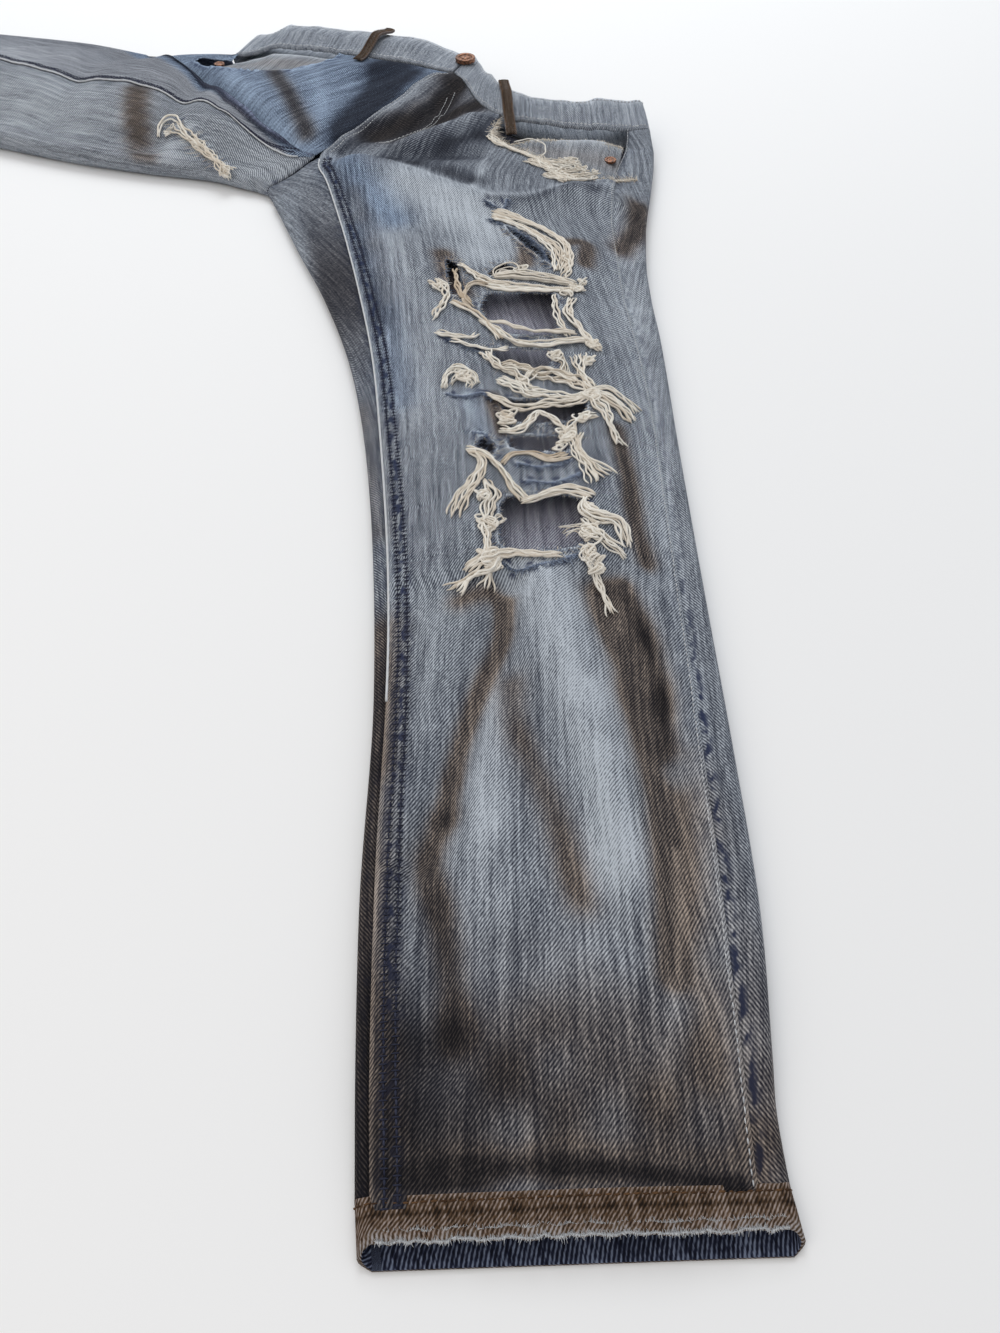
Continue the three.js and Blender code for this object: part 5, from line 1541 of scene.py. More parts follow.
def band_weave(seam_line: Route, top_line: Route, sides: Sequence[Place], out: Place, clear: float) -> Weave:
    """Half of the waistband: from the front opening over the top, round a side and back to the centre."""
    rows, out = [], np.array(out)

    def along(u: Array | float, up: float) -> Array:
        """Places along the band, a share up from its seam to its top."""
        return mix(seam_line(u), top_line(u), mix(0.03, 1, up))

    for up in np.linspace(0, 1, BAND.rows):
        side = mix(np.array(sides[0]), np.array(sides[1]), up)
        head = side - out * EDGE
        u = np.linspace(0.006, 1, BAND.front_places)
        gap = np.linspace(0, 1, 6)[1:-1, None]
        top = np.concatenate([along(u, up), mix(along(1.0, up), head, gap)])
        middle = mix(seat_seam(0.0), BACK_TOP, up)
        share = np.linspace(0.004, 0.985, BAND.back_places)
        straight = mix(along(0.0, up), along(1.0, up), share[:, None])
        back = mix(middle, head, share[:, None]) + along(share, up) - straight
        tangent = unit(back, np.roll(back, -1, 0))
        tangent[-1] = tangent[-2]
        back = back + np.stack([-tangent[:, 1], tangent[:, 0]], -1) * clear * (1 - up)
        turned = round_side(side[None], out[None], EDGE, np.linspace(0, math.pi, BAND.side_places))[0]
        z = LAY.body(top) + 0.4
        rows.append(np.concatenate([with_z(top, z), turned, with_z(back[::-1], LAY.floor(back[::-1]))]))
    rows = np.stack(rows)
    share = np.linspace(0, 1, rows.shape[1])[None]
    up = np.linspace(0, 1, BAND.rows)[:, None]
    ripple = 0.35 * np.sin(share * 260) * bell(up - 0.05, 0.25) + 0.5 * UNEVEN(share * 40, up * 2, 1.0)
    rows[..., 2] += ripple * (rows[..., 2] > 12)
    masks = plain_wear_and_shade(
        rows.shape[:-1], fade=0.15 + 0.3 * bell(up - 1, 0.25) + 0.2 * bell(up, 0.2),
        worn=0.8 * bell(up - 1, 0.1), seam=0.25 * bell(up - 0.1, 0.2),
    )
    return Weave(rows, -1 if clear > 0 else 1, masks=masks)


def facing_weave(top: Route, foot: Route, side: int) -> Weave:
    """A front pocket's facing, under the mouth."""
    u, t = np.linspace(0, 1, 64), np.linspace(0, 1, 46)
    plan = between(top(u), foot(u), t).transpose(1, 0, 2)
    drop = 2.9 + 0.8 * UNEVEN(plan[..., 0], plan[..., 1], 13)
    rows = with_z(plan, LAY.body(plan) - drop)
    edge = np.broadcast_to(t[:, None] * 60, plan.shape[:-1])
    # Painted shade: darker towards the foot, and warm brown shade across its middle.
    masks = plain_wear_and_shade(
        plan.shape[:-1],
        worn=0.9 * bell(edge, 2.0) + 0.3 * bell(edge - 3, 3),
        fade=0.25 + 0.1 * UNEVEN(plan[..., 0], plan[..., 1], 9),
        tan=0.35 * bell(edge - 22, 12),
        dark=0.15 + 0.4 * ease((t[:, None] - 0.7) / 0.3),
    )
    return Weave(rows, side, masks=masks)


def on_hip(up: Array | float, across: Array | float) -> Array:
    """A plan place measured up from the crotch and across from the centre line."""
    c, s = math.cos(HIP_TILT), math.sin(HIP_TILT)
    up, across = np.asarray(up, float), np.asarray(across, float)
    return np.stack([c * up + s * across, s * up - c * across], -1)


@dataclass(frozen=True)
class PocketShape:
    """A back pocket's measures, in millimetres, up from the crotch and across from the centre seam."""

    top: float = 118
    depth: float = 100
    point: float = 16
    across: float = 111
    mouth: float = 122
    foot: float = 104


POCKET = PocketShape()


def pocket_weave(side: int) -> Weave:
    """A back pocket, flat under the seat, with its point towards the thigh."""
    t, u = np.meshgrid(np.linspace(0, 1, 42), np.linspace(0, 1, 46), indexing="ij")
    width = mix(POCKET.mouth, POCKET.foot, t)
    up = POCKET.top - POCKET.depth * t - POCKET.point * t * (1 - np.abs(2 * u - 1)) + 0 * u
    plan = on_hip(up, side * (POCKET.across + width * (u - 0.5)))
    rim = np.minimum(np.minimum(u, 1 - u) * 110, np.minimum(t, 1 - t) * 100)
    masks = plain_wear_and_shade(
        t.shape, worn=0.7 * bell(rim, 1.5), fade=0.15 * bell(rim - 40, 30), seam=0.4 * bell(rim - 5, 4)
    )
    return Weave(with_z(plan, 0.05), 1 if side < 0 else -1, masks=masks)


LOOP_WIDTH = 8.6


def loop_weave(foot: Array, head: Array, height: Curve | None, bow: float, clear: float) -> Weave:
    """A belt loop: a strip over the waistband, from below its seam to above its top edge."""
    foot, head = np.asarray(foot, float), np.asarray(head, float)
    along = unit(foot, head)
    across = np.array([along[1], -along[0]])
    length = float(np.linalg.norm(head - foot))
    t, share = np.linspace(0, 1, 26), np.linspace(-0.5, 0.5, 7)
    plan = mix(head, foot, t[:, None])[:, None] + across * (share * LOOP_WIDTH)[None, :, None]
    arch = bow * np.sin(math.pi * np.clip((t * length - 3) / (length - 9), 0, 1))
    z = (height(plan) if height else np.zeros(plan.shape[:-1])) + clear + arch[:, None]
    if height:
        z = mix(z, z.mean(1, keepdims=True), 0.6)
        z += 0.4 * (1 - (2 * share[None]) ** 2)
    # Painted shade: darker and browner all over.
    masks = plain_wear_and_shade(plan.shape[:-1], worn=0.9 * bell(np.abs(share) - 0.5, 0.10)[None], tan=0.2, dark=0.55)
    return Weave(with_z(plan, z), 1 if height else -1, masks=masks)


@dataclass(frozen=True)
class HemShape:
    """A folded hem's measures, in millimetres, and how many places its rows have."""

    lap: float = 0.6
    depth: float = 13
    back_drop: float = 7
    rows: int = 11
    front_places: int = 66
    back_places: int = 44
    turn_places: int = 9


HEM = HemShape()


def hem_weave(
    inner: Array, outer: Array, outs: tuple[Array, Array], way: Array, radius: float, height: Curve,
    facing: int,
) -> Weave:
    """A folded hem: a ring round the bottom of a leg, from its stitched edge to its worn edge."""
    rows, (inner_out, outer_out) = [], outs
    for depth in np.linspace(-HEM.lap, HEM.depth, HEM.rows):
        inner_top, outer_top = inner + way * depth, outer + way * depth
        dropped = depth + HEM.back_drop * depth / HEM.depth
        inner_foot, outer_foot = inner + way * dropped, outer + way * dropped

        def turn(top: Array, foot: Array, out: Array, turns: Array) -> Array:
            """Round one side, reaching further on the way to the back."""
            places = round_side(top[None], out[None], radius, turns)[0]
            share = turns / math.pi
            places[:, :2] += (foot - top) * share[:, None]
            return places

        across = between(
            (inner_top - inner_out * radius)[None], (outer_top - outer_out * radius)[None],
            np.linspace(0, 1, HEM.front_places)[1:-1],
        )[0]
        back = between(
            (outer_foot - outer_out * radius)[None], (inner_foot - inner_out * radius)[None],
            np.linspace(0, 1, HEM.back_places)[1:-1],
        )[0]
        rows.append(np.concatenate([
            turn(inner_top, inner_foot, inner_out, np.linspace(math.pi, 0, HEM.turn_places)),
            with_z(across, height(across) + 0.55),
            turn(outer_top, outer_foot, outer_out, np.linspace(0, math.pi, HEM.turn_places)),
            with_z(back, LAY.floor(back)),
        ]))
    rows = np.stack(rows)
    depth = np.linspace(0, 1, HEM.rows)[:, None]
    on_top = rows[..., 2] > radius * 1.2
    wave = np.arange(rows.shape[1])[None]
    roping = 0.45 * np.sin(wave * 0.8 + 2 * np.sin(wave * 0.31)) * bell(depth - 0.45, 0.35)
    rows[..., 2] += on_top * (roping + 0.5 * bell(depth - 0.55, 0.3))
    rows[..., :2] += (on_top * bell(depth - 1, 0.2) * 0.7 * UNEVEN(wave, 0 * wave, 1.4))[..., None] * way
    frayed = ease((depth - 0.76 - 0.15 * UNEVEN(wave, 0 * wave, 2.2)) / 0.16)
    puckers = bell(np.sin(wave * 0.62 + 1.5 * UNEVEN(wave, 0 * wave, 9.0)), 0.45) * bell(depth - 0.34, 0.16)
    # Painted shade: darker in the puckers and along the hem's fold lines, and warm brown shade over all but
    # the frayed edge.
    shade = 0.55 * bell(depth - 0.42, 0.05) + 0.6 * puckers + 0.3 * bell(depth - 0.12, 0.05)
    masks = plain_wear_and_shade(
        on_top.shape, worn=0.36 * frayed * on_top, tan=0.45 * (1 - frayed), dark=shade,
        fade=0.25 * bell(depth - 0.04, 0.08),
    )
    stripes = 0.5 + 0.5 * np.sin(wave * 1.7)
    striped = 0.16 * stripes**8 * ease(0.6 + UNEVEN(wave, 0 * wave, 5.0))
    inner = plain_wear_and_shade(on_top.shape, worn=striped, fade=0.2 * bell(depth - 1, 0.06))
    return Weave(rows, facing, True, masks, inner)


# ---------------------------------------------------------------- rips

POCKET_MOUTH = [
    (151, 60), (147, 34), (137, 10), (142, -8), (160, -26), (172, -48), (190, -71), (214, -70), (236, -58),
]
POCKET_BEYOND = [(290, -50), (290, 70), (200, 70)]
FACING_TOP = Route([(150, -5), (166, -1), (190, -4), (218, -8), (238, -10)])
FACING_FOOT = Route([(152, -28), (166, -52), (186, -80), (206, -84), (216, -78)])
RIGHT_MOUTH = [(36, 210), (24, 178), (8, 163), (-18, 155), (-46, 158), (-72, 169), (-92, 185), (-102, 205)]
RIGHT_BEYOND = [(-98, 219), (-70, 207), (-58, 240)]
RIGHT_FACING_TOP = Route([(30, 177), (8, 188), (-32, 204), (-68, 211)])
RIGHT_FACING_FOOT = Route([(14, 152), (-18, 144), (-48, 147), (-78, 160), (-98, 180)])

RIPS = [
    [(128, -128), (143, -142), (156, -168), (156, -184), (149, -172), (135, -146)],
    [(108, -186), (120, -172), (131, -178), (127, -190)],
    [(84, -164), (94, -172), (93, -208), (82, -212)],
    [(106, -205), (153, -212), (145, -260), (107, -253), (100, -226)],
    [(101, -266), (143, -274), (131, -296), (104, -287)],
    [(99, -316), (151, -324), (146, -342), (103, -340)],
    [(100, -349), (136, -353), (133, -366), (101, -362)],
    [(81, -358), (87, -349), (94, -354), (92, -368)],
    [(90, -396), (134, -400), (130, -438), (85, -436)],
]
TORN = [
    [(74, -252), (84, -264), (94, -271), (105, -279)],
    [(71, -309), (80, -313), (92, -312), (98, -318)],
    [(120, -104), (130, -112), (134, -104)],
    [(121, -120), (136, -136), (150, -158), (152, -182)],
    [(103, -372), (116, -376), (132, -372)],
    [(106, -386), (120, -389), (138, -383)],
    [(83, -438), (92, -446), (108, -446), (126, -441), (134, -446)],
    [(82, -346), (89, -347), (95, -353)],
]
RIGHT_RIP = [(-112, 66), (-105, 68), (-86, 36), (-69, 8), (-73, 6), (-91, 32)]


def rounded_outline(
    corners: Sequence[Place], soften: float = 0.22, rough: float = 0.7, seed: int = 3
) -> Array:
    """A closed outline with softened corners and an uneven edge.

    Args:
        corners: the outline's corners.
        soften: share of each side that its corners take.
        rough: how far the edge strays, in millimetres.
        seed: of its unevenness.

    Returns:
        Close places round it, the first one repeated at the end.
    """
    c = np.array(corners, float)
    made = []
    for before, here, after in zip(np.roll(c, 1, 0), c, np.roll(c, -1, 0)):
        a, b = mix(here, before, soften), mix(here, after, soften)
        t = np.linspace(0, 1, 7)[:, None]
        made.append((1 - t) ** 2 * a + 2 * t * (1 - t) * here + t * t * b)
    line = np.concatenate(made)
    line = Route(np.vstack([line, line[:1]]), 2).spaced(1.0)
    out = unit_of(np.stack([np.gradient(line[:, 1]), -np.gradient(line[:, 0])], -1))
    step, flat = np.arange(len(line)), 0 * line[:, 0]
    stray = rough * (Unevenness(seed)(step, flat, 3.0) + 0.6 * Unevenness(seed + 1)(step, flat, 1.3))
    line = line + out * (stray * np.minimum(1, np.minimum(step, step[::-1]) / 3))[:, None]
    line[-1] = line[0]
    return line


def inside(outline: Array, p: Array) -> Array:
    """Whether each place is inside a closed outline."""
    x, y = p[..., 0], p[..., 1]
    found = np.zeros(x.shape, bool)
    for (ax, ay), (bx, by) in zip(outline[:-1], outline[1:]):
        crosses = (ay > y) != (by > y)
        if ay != by:
            found ^= crosses & (x < ax + (y - ay) * (bx - ax) / (by - ay))
    return found


def nearest_on(outline: Array, p: Array) -> Array:
    """The closest places on an outline."""
    best, at = np.full(len(p), np.inf), p.copy()
    for a, b in zip(outline[:-1], outline[1:]):
        d = b - a
        t = np.clip(((p - a) @ d) / max(float(d @ d), 1e-9), 0, 1)[:, None]
        q = a + t * d
        gap = np.linalg.norm(p - q, axis=1)
        closer = gap < best
        best[closer], at[closer] = gap[closer], q[closer]
    return at


def cut(weave: Weave, outlines: Sequence[Array], height: Curve, frayed: float = 2.6) -> None:
    """Cuts holes through a grid, with their edges on the outlines.

    Args:
        weave: the grid, changed in place.
        outlines: closed, in plan.
        height: of the cloth at the edges.
        frayed: how far in from an edge the cloth is worn.
    """
    p = weave.rows[..., :2]
    high = weave.rows[..., 2] > 9
    kept = np.ones((p.shape[0] - 1, p.shape[1] - 1), bool)
    worn, ink = weave.masks["worn"].copy(), weave.masks["seam"].copy()
    for outline in outlines:
        lo, hi = outline.min(0) - 8, outline.max(0) + 8
        near = np.all((p > lo) & (p < hi), axis=-1) & high
        within = np.zeros(near.shape, bool)
        within[near] = inside(outline, p[near])
        count = within[:-1, :-1].astype(int) + within[1:, :-1] + within[:-1, 1:] + within[1:, 1:]
        kept &= count <= 2
        used = np.zeros(near.shape, bool)
        for di, dj in ((0, 0), (0, 1), (1, 0), (1, 1)):
            used[di : di + kept.shape[0], dj : dj + kept.shape[1]] |= (count > 0) & (count <= 2)
        edge = within & used
        flat = nearest_on(outline, p[edge])
        weave.rows[edge] = with_z(flat, height(flat) + 0.3)
        gap = distance_to(outline, p[near])
        curl = bell(gap, 1.6) * (0.5 + 0.7 * UNEVEN(p[near][:, 0] + 90, p[near][:, 1], 6))
        weave.rows[near, 2] += curl
        rubbed = bell(gap, frayed) * (0.65 + 0.5 * UNEVEN(p[near][:, 0], p[near][:, 1], 4))
        worn[near] = np.maximum(worn[near], rubbed)
        ink[near] = np.maximum(ink[near], 0.8 * bell(gap - 2.6, 1.8))
    for line in TORN:
        line = Route(line, 8).points
        near = np.all((p > line.min(0) - 8) & (p < line.max(0) + 8), axis=-1) & high
        gap = distance_to(line, p[near])
        worn[near] = np.maximum(worn[near], 0.8 * bell(gap, 1.3))
        ink[near] = np.maximum(ink[near], bell(gap - 2.2, 1.6))
    weave.masks["worn"], weave.masks["seam"] = np.clip(worn, 0, 1), ink
    weave.kept = kept


# ---------------------------------------------------------------- yarns, threads and fringes


@dataclass(frozen=True)
class Bundle:
    """Yarns that run together along a few places."""

    places: Sequence[Place]
    count: int
    spread: float
    radius: float = 0.55
    wave: float = 1.2
    lift: float = 1.0
    fan: float = 0.0
    light: float = 0.85

    def strands(self, seed: int, height: Curve) -> Strands:
        """Routes, radii and tones of its yarns, lying just over the cloth."""
        rng = np.random.default_rng(seed)
        spine = Route(self.places, 10)
        routes, radii, tones = [], [], []
        for k in range(self.count):
            start, end = rng.uniform(0, 0.05), 1 - rng.uniform(0, 0.06 + 0.06 * (self.fan > 0))
            n = max(int(spine.length * (end - start) / 1.3), 8)
            t = np.linspace(start, end, n)
            p = spine(t)
            tangent = unit_of(np.gradient(p, axis=0))
            side = np.stack([-tangent[:, 1], tangent[:, 0]], -1)
            lane = (k / max(self.count - 1, 1) - 0.5) * self.spread
            phase, beat = rng.uniform(0, 9), rng.uniform(9, 16)
            drift = self.wave * np.sin(t * spine.length / beat * 2 * math.pi + phase)
            drift *= 0.5 + 0.5 * rng.random()
            drift += 0.6 * self.wave * np.sin(t * spine.length / (beat * 0.37) + phase * 2)
            narrow = 0.75 + 0.35 * np.sin(t * 5 + 1.3 * seed)
            fanned = 1 + self.fan * ease((t - 0.55) / 0.45)
            p = p + side * (lane * narrow * fanned + drift)[:, None]
            ground = height(p)
            ground = np.convolve(np.pad(ground, 4, mode="edge"), np.ones(9) / 9, "valid")
            stack = rng.uniform(0, 1)
            z = ground + self.radius + 0.5 + self.lift * stack * 2.0 * np.sin(math.pi * t) ** 0.5
            z += 0.35 * self.wave * np.sin(t * spine.length / 7 + phase * 3)
            z = np.maximum(z, ground + self.radius * 0.9)
            routes.append(np.concatenate([p, z[:, None]], 1))
            taper = np.minimum(1, np.minimum(t - start, end - t) * spine.length / 3 + 0.35)
            radii.append(self.radius * rng.uniform(0.8, 1.15) * taper)
            tones.append(float(np.clip(self.light + rng.uniform(-0.45, 0.15), 0, 1)))
        return routes, radii, tones


@dataclass(frozen=True)
class Knot:
    """A tangle of looped yarn at a place."""

    at: Place
    size: float
    loops: int = 5
    radius: float = 0.5
    light: float = 0.85

    def strands(self, seed: int, height: Curve) -> Strands:
        """Routes, radii and tones of its loops."""
        rng = np.random.default_rng(seed)
        routes, radii, tones = [], [], []
        for _ in range(self.loops):
            t = np.linspace(0, 1, 34)
            a, b, c = rng.uniform(0, 2 * math.pi, 3)
            turn = 2 * math.pi * rng.uniform(0.8, 1.5) * t
            size = self.size * rng.uniform(0.5, 1.0)
            x = (
                self.at[0] + size * np.cos(turn + a) * (0.7 + 0.3 * np.sin(2 * turn + c))
                + rng.normal(0, self.size * 0.15)
            )
            y = self.at[1] + size * np.sin(turn + b) * 0.8 + rng.normal(0, self.size * 0.15)
            p = np.stack([x, y], -1)
            z = (
                height(p) + self.radius + 0.4
                + 2.2 * (0.5 + 0.5 * np.sin(2 * turn + c)) * rng.uniform(0.4, 1)
            )
            routes.append(np.concatenate([p, z[:, None]], 1))
            radii.append(np.full(len(t), self.radius) * np.minimum(1, np.minimum(t, 1 - t) * 12 + 0.4))
            tones.append(float(np.clip(self.light + rng.uniform(-0.3, 0.15), 0, 1)))
        return routes, radii, tones


B, K = Bundle, Knot
YARNS: dict[str, list[Bundle | Knot]] = {
    "rip_yarns_1": [
        B(
            [(121, -113), (140, -125), (156, -141), (164, -158), (166, -174), (159, -196)], 7, 7.2, 0.63,
            0.5, 0.9,
        ),
        B([(121, -118), (139, -133), (153, -152), (159, -168), (157, -192)], 7, 7.2, 0.63, 0.5, 0.6),
        B([(160, -172), (164, -186), (158, -200)], 4, 3.7, 0.58, 0.8, 0.8),
        K((163, -176), 3.3, 3, 0.43, 0.4),
    ],
    "rip_yarns_2": [
        B([(92, -172), (103, -187), (113, -197), (126, -201)], 6, 5.5, 0.63, 0.7, 0.9),
        B([(112, -189), (124, -189), (139, -194), (154, -200), (166, -209)], 7, 7.2, 0.63, 0.5, 1.2),
        B([(108, -196), (124, -204), (141, -209), (155, -213), (167, -215)], 7, 7.2, 0.63, 0.5, 0.9),
        B(
            [(96, -225), (92, -217), (95, -204), (101, -197), (112, -198)], 4, 3.3, 0.63, 0.4, 1.4,
            light=0.55,
        ),
        B([(90, -178), (89, -196), (90, -209), (96, -220)], 4, 3.1, 0.63, 0.7, 0.5, light=0.2),
        B([(115, -192), (117, -182), (126, -181), (132, -190)], 3, 4.3, 0.47, 1.0, 1.8),
        K((133, -184), 5, 4, 0.49), K((164, -213), 5, 7, 0.61), K((168, -206), 4.4, 4, 0.49),
    ],
    "rip_yarns_3": [
        B([(76, -193), (81, -204), (80, -217), (73, -231), (69, -240)], 4, 3.7, 0.63, 0.8, 0.8, fan=1.0),
        B([(82, -218), (89, -225), (98, -235), (104, -250), (109, -262)], 4, 3.5, 0.68, 0.5, 1.3, light=0.6),
        B(
            [(101, -241), (112, -244), (121, -251), (131, -256), (143, -258), (157, -262)], 4, 3.5, 0.68,
            0.7, 1.2,
        ),
        B(
            [(97, -238), (107, -250), (116, -265), (130, -270), (148, -270), (162, -272)], 6, 4.4, 0.68,
            0.7, 1.2,
        ),
        B([(150, -214), (147, -232), (148, -252), (150, -265)], 3, 2.6, 0.63, 0.5, 0.8),
        B(
            [(160, -222), (154, -238), (157, -256), (162, -274), (167, -284)], 6, 4.3, 0.63, 0.7, 0.9,
            fan=0.8,
        ),
        B([(70, -250), (80, -256), (90, -259), (96, -254)], 4, 4, 0.58, 0.8, 0.6),
        B([(78, -260), (92, -268), (104, -271), (114, -270)], 4, 3.7, 0.52, 0.8, 0.6),
        K((76, -202), 5, 6, 0.61), K((163, -276), 5, 7, 0.61), K((158, -217), 4.4, 6, 0.61),
    ],
    "rip_yarns_4": [
        B([(96, -272), (106, -290), (113, -297), (118, -310), (124, -316)], 7, 7.2, 0.58, 1.3, 1.0),
        B(
            [(104, -286), (116, -288), (124, -297), (135, -300), (145, -308), (154, -318)], 9, 9.5, 0.58,
            1.4, 1.4,
        ),
        B([(112, -304), (120, -300), (128, -294), (138, -298), (148, -309)], 6, 4.9, 0.58, 1.2, 1.6),
        B(
            [(100, -300), (110, -307), (118, -316), (128, -318), (138, -322), (155, -322)], 6, 6, 0.58,
            1.1, 1.1,
        ),
        B([(152, -282), (151, -298), (154, -318)], 6, 7.2, 0.58, 1.0, 1.0),
        B([(138, -278), (143, -286), (141, -302)], 6, 7.2, 0.47, 1.0, 0.7),
        K((139, -281), 5, 7, 0.55), K((157, -290), 5, 6, 0.61),
    ],
    "rip_yarns_5": [
        B(
            [(93, -313), (102, -322), (112, -329), (126, -327), (140, -328), (153, -322)], 6, 5.5, 0.63,
            1.0, 1.1, light=0.7,
        ),
        B([(152, -320), (161, -325), (168, -333), (174, -344)], 9, 7.2, 0.63, 0.7, 0.9, fan=1.2),
        B([(153, -324), (158, -338), (159, -352), (162, -366)], 7, 6, 0.58, 0.8, 0.9, fan=0.9),
        B([(150, -318), (163, -316), (172, -324), (181, -335)], 4, 4.9, 0.52, 0.7, 0.7, fan=0.8),
        B([(70, -306), (72, -296), (79, -289), (86, -294), (89, -306)], 8, 5.5, 0.55, 0.9, 1.0, light=0.9),
        B([(74, -303), (80, -297), (86, -303), (84, -309)], 4, 3.5, 0.5, 0.8, 0.8),
        K((83, -298), 5.5, 7, 0.67), K((102, -336), 6.1, 8, 0.67, 0.6), K((153, -322), 5.5, 8, 0.67),
    ],
    "rip_yarns_6": [
        B(
            [(96, -344), (105, -348), (113, -342), (121, -334), (128, -341), (136, -353)], 6, 4.9, 0.63,
            0.8, 1.2,
        ),
        B([(133, -354), (142, -343), (153, -340)], 6, 7.2, 0.58, 1.0, 0.9),
        B([(140, -352), (138, -368), (143, -382), (150, -394)], 7, 5.5, 0.58, 0.7, 0.9, fan=1.2),
        B([(136, -352), (135, -366), (139, -384), (141, -396)], 4, 3.7, 0.52, 0.7, 0.9, fan=0.8),
        K((134, -354), 6.1, 10, 0.67), K((144, -342), 5.5, 6, 0.61), K((128, -362), 4.4, 4, 0.55),
        B(
            [(94, -374), (102, -366), (111, -366), (122, -371), (133, -369)], 6, 4.4, 0.52, 0.5, 0.4,
            light=0.25,
        ),
    ],
    "rip_yarns_7": [
        B([(76, -362), (86, -366), (93, -378), (98, -392), (103, -403)], 6, 5.1, 0.68, 0.5, 1.2, light=0.75),
        B(
            [(100, -403), (111, -400), (122, -397), (131, -399), (139, -405)], 7, 6, 0.63, 0.5, 1.1,
            light=0.75,
        ),
        B(
            [(134, -403), (132, -415), (139, -421), (147, -426), (149, -442)], 7, 5.5, 0.63, 0.7, 1.2,
            fan=0.7,
        ),
        B([(131, -418), (134, -430), (140, -437), (148, -446)], 7, 6, 0.58, 0.9, 1.0, fan=0.8),
        B([(130, -436), (130, -452), (133, -466), (135, -477)], 6, 5.5, 0.52, 0.8, 0.6),
        B([(118, -427), (126, -425), (133, -428)], 6, 10.7, 0.32, 0.8, 0.5),
        K((134, -413), 5, 7, 0.61), K((132, -430), 6.6, 11, 0.61), K((131, -449), 5.5, 8, 0.61),
        K((129, -441), 5.5, 7, 0.55),
    ],
    "rip_yarns_8": [
        B([(78, -361), (84, -372), (80, -384), (70, -398), (65, -412)], 7, 6, 0.63, 0.7, 0.9, fan=0.9),
        B([(83, -384), (87, -396), (83, -408), (80, -424), (80, -440)], 7, 5.5, 0.58, 0.9, 0.8),
        K((82, -398), 5, 6, 0.61), K((81, -418), 5.5, 8, 0.55), K((88, -416), 5, 3, 0.37),
    ],
    "rip_yarns_9": [
        B([(66, -447), (78, -440), (92, -438), (104, -441), (116, -442)], 6, 4.9, 0.63, 0.7, 0.9),
        B([(84, -436), (80, -446), (70, -450), (58, -458)], 7, 6, 0.58, 0.9, 0.8, fan=0.9),
        B([(80, -438), (79, -448), (75, -458)], 4, 3.7, 0.58, 0.7, 0.7, fan=0.8),
        K((80, -440), 6.6, 11, 0.61),
    ],
}
RIGHT_YARNS: list[Bundle | Knot] = [
    B(
        [(-121, 54), (-120, 66), (-113, 73), (-105, 65), (-101, 50), (-94, 38), (-87, 28)], 2, 1.6, 0.8,
        0.5, 1.2, light=1.0,
    ),
    B([(-110, 62), (-100, 48), (-89, 32), (-77, 14), (-65, -2)], 3, 6, 0.7, 1.0, 1.0),
    B([(-95, 44), (-84, 28), (-74, 12), (-64, -5)], 6, 9, 0.62, 1.4, 1.0, fan=0.5),
    K((-113, 58), 5, 4, 0.45), K((-88, 32), 5, 5, 0.5), K((-68, 0), 5, 5, 0.5),
]


def together(lots: Iterable[Strands]) -> Strands:
    """Several lots of strands as one."""
    return tuple(sum(lists, []) for lists in zip(*lots))


def yarn_piece(name: str, parts: Sequence[Bundle | Knot], height: Curve, seed: int) -> Object:
    """All the yarns of one rip as one piece."""
    return tubes(name, *together(part.strands(seed * 50 + k, height) for k, part in enumerate(parts)))


def stitches(
    lines: Sequence[Array], pitch: float = 3.4, share: float = 0.7, radius: float = 0.33, seed: int = 5
) -> Strands:
    """Separate stitches along lines: short threads that dip at both ends."""
    rng = np.random.default_rng(seed)
    routes, radii, tones = [], [], []
    for line in lines:
        along = run_of(line)
        for start in np.arange(0.5, along[-1] - pitch, pitch):
            s = start + np.linspace(0, pitch * share, 4)
            p = np.stack([np.interp(s, along, column) for column in line.T], -1)
            p[:, 2] += np.array([-0.25, 0.12, 0.12, -0.25]) + rng.normal(0, 0.04)
            p[:, :2] += rng.normal(0, 0.09, 2)
            routes.append(p)
            radii.append(radius * np.array([0.6, 1, 1, 0.6]) * rng.uniform(0.85, 1.1))
            tones.append(float(rng.uniform(0.2, 1)))
    return routes, radii, tones


def stitch_piece(name: str, lines: Sequence[Array], **options: float) -> Object:
    """Rows of stitches as one piece."""
    return tubes(name, *stitches(lines, **options), sides=4)


def over(line: Array, height: Curve, lift: float) -> Array:
    """A plan line raised over the cloth."""
    return with_z(line, height(line) + lift)


def beside(weave: Weave, distance: float, last: bool = False, lift: float = 0.2) -> Array:
    """A line over a grid, at a distance in from its first or last column."""
    far = reach(weave.rows, last)
    picked = []
    for row, gap in zip(weave.rows, far):
        order = np.argsort(gap)
        picked.append([np.interp(distance, gap[order], row[order, k]) for k in range(3)])
    line = np.array(picked)
    line[:, 2] += lift
    return line


def ladder(
    weave: Weave, gaps: Sequence[float], shown: Callable[[Array], bool], pitch: float = 3.0
) -> list[Array]:
    """Short cross threads of a chain stitch, over each of its rows."""
    rungs = []
    for gap in gaps:
        near, far = beside(weave, gap - 1.5), beside(weave, gap + 1.5)
        steps = run_of(near)
        for at in np.arange(pitch, steps[-1], pitch):
            a, b = (np.array([np.interp(at, steps, column) for column in line.T]) for line in (near, far))
            if shown(a):
                places = mix(a, b, np.linspace(0, 1, 4)[:, None])
                rungs.append(places + np.array([0, 0, 1]) * np.array([-0.1, 0.12, 0.12, -0.1])[:, None])
    return rungs


def along_row(weave: Weave, row: float, lift: float, span: tuple[int, int] | None = None) -> Array:
    """A line over a grid between two of its rows, moved out along its normals."""
    k = int(min(row, len(weave.rows) - 2))
    normal = normals_of(weave.rows, weave.facing, weave.looped)
    line = mix(weave.rows[k], weave.rows[k + 1], row - k) + normal[k] * lift
    return line[slice(*span)] if span else line


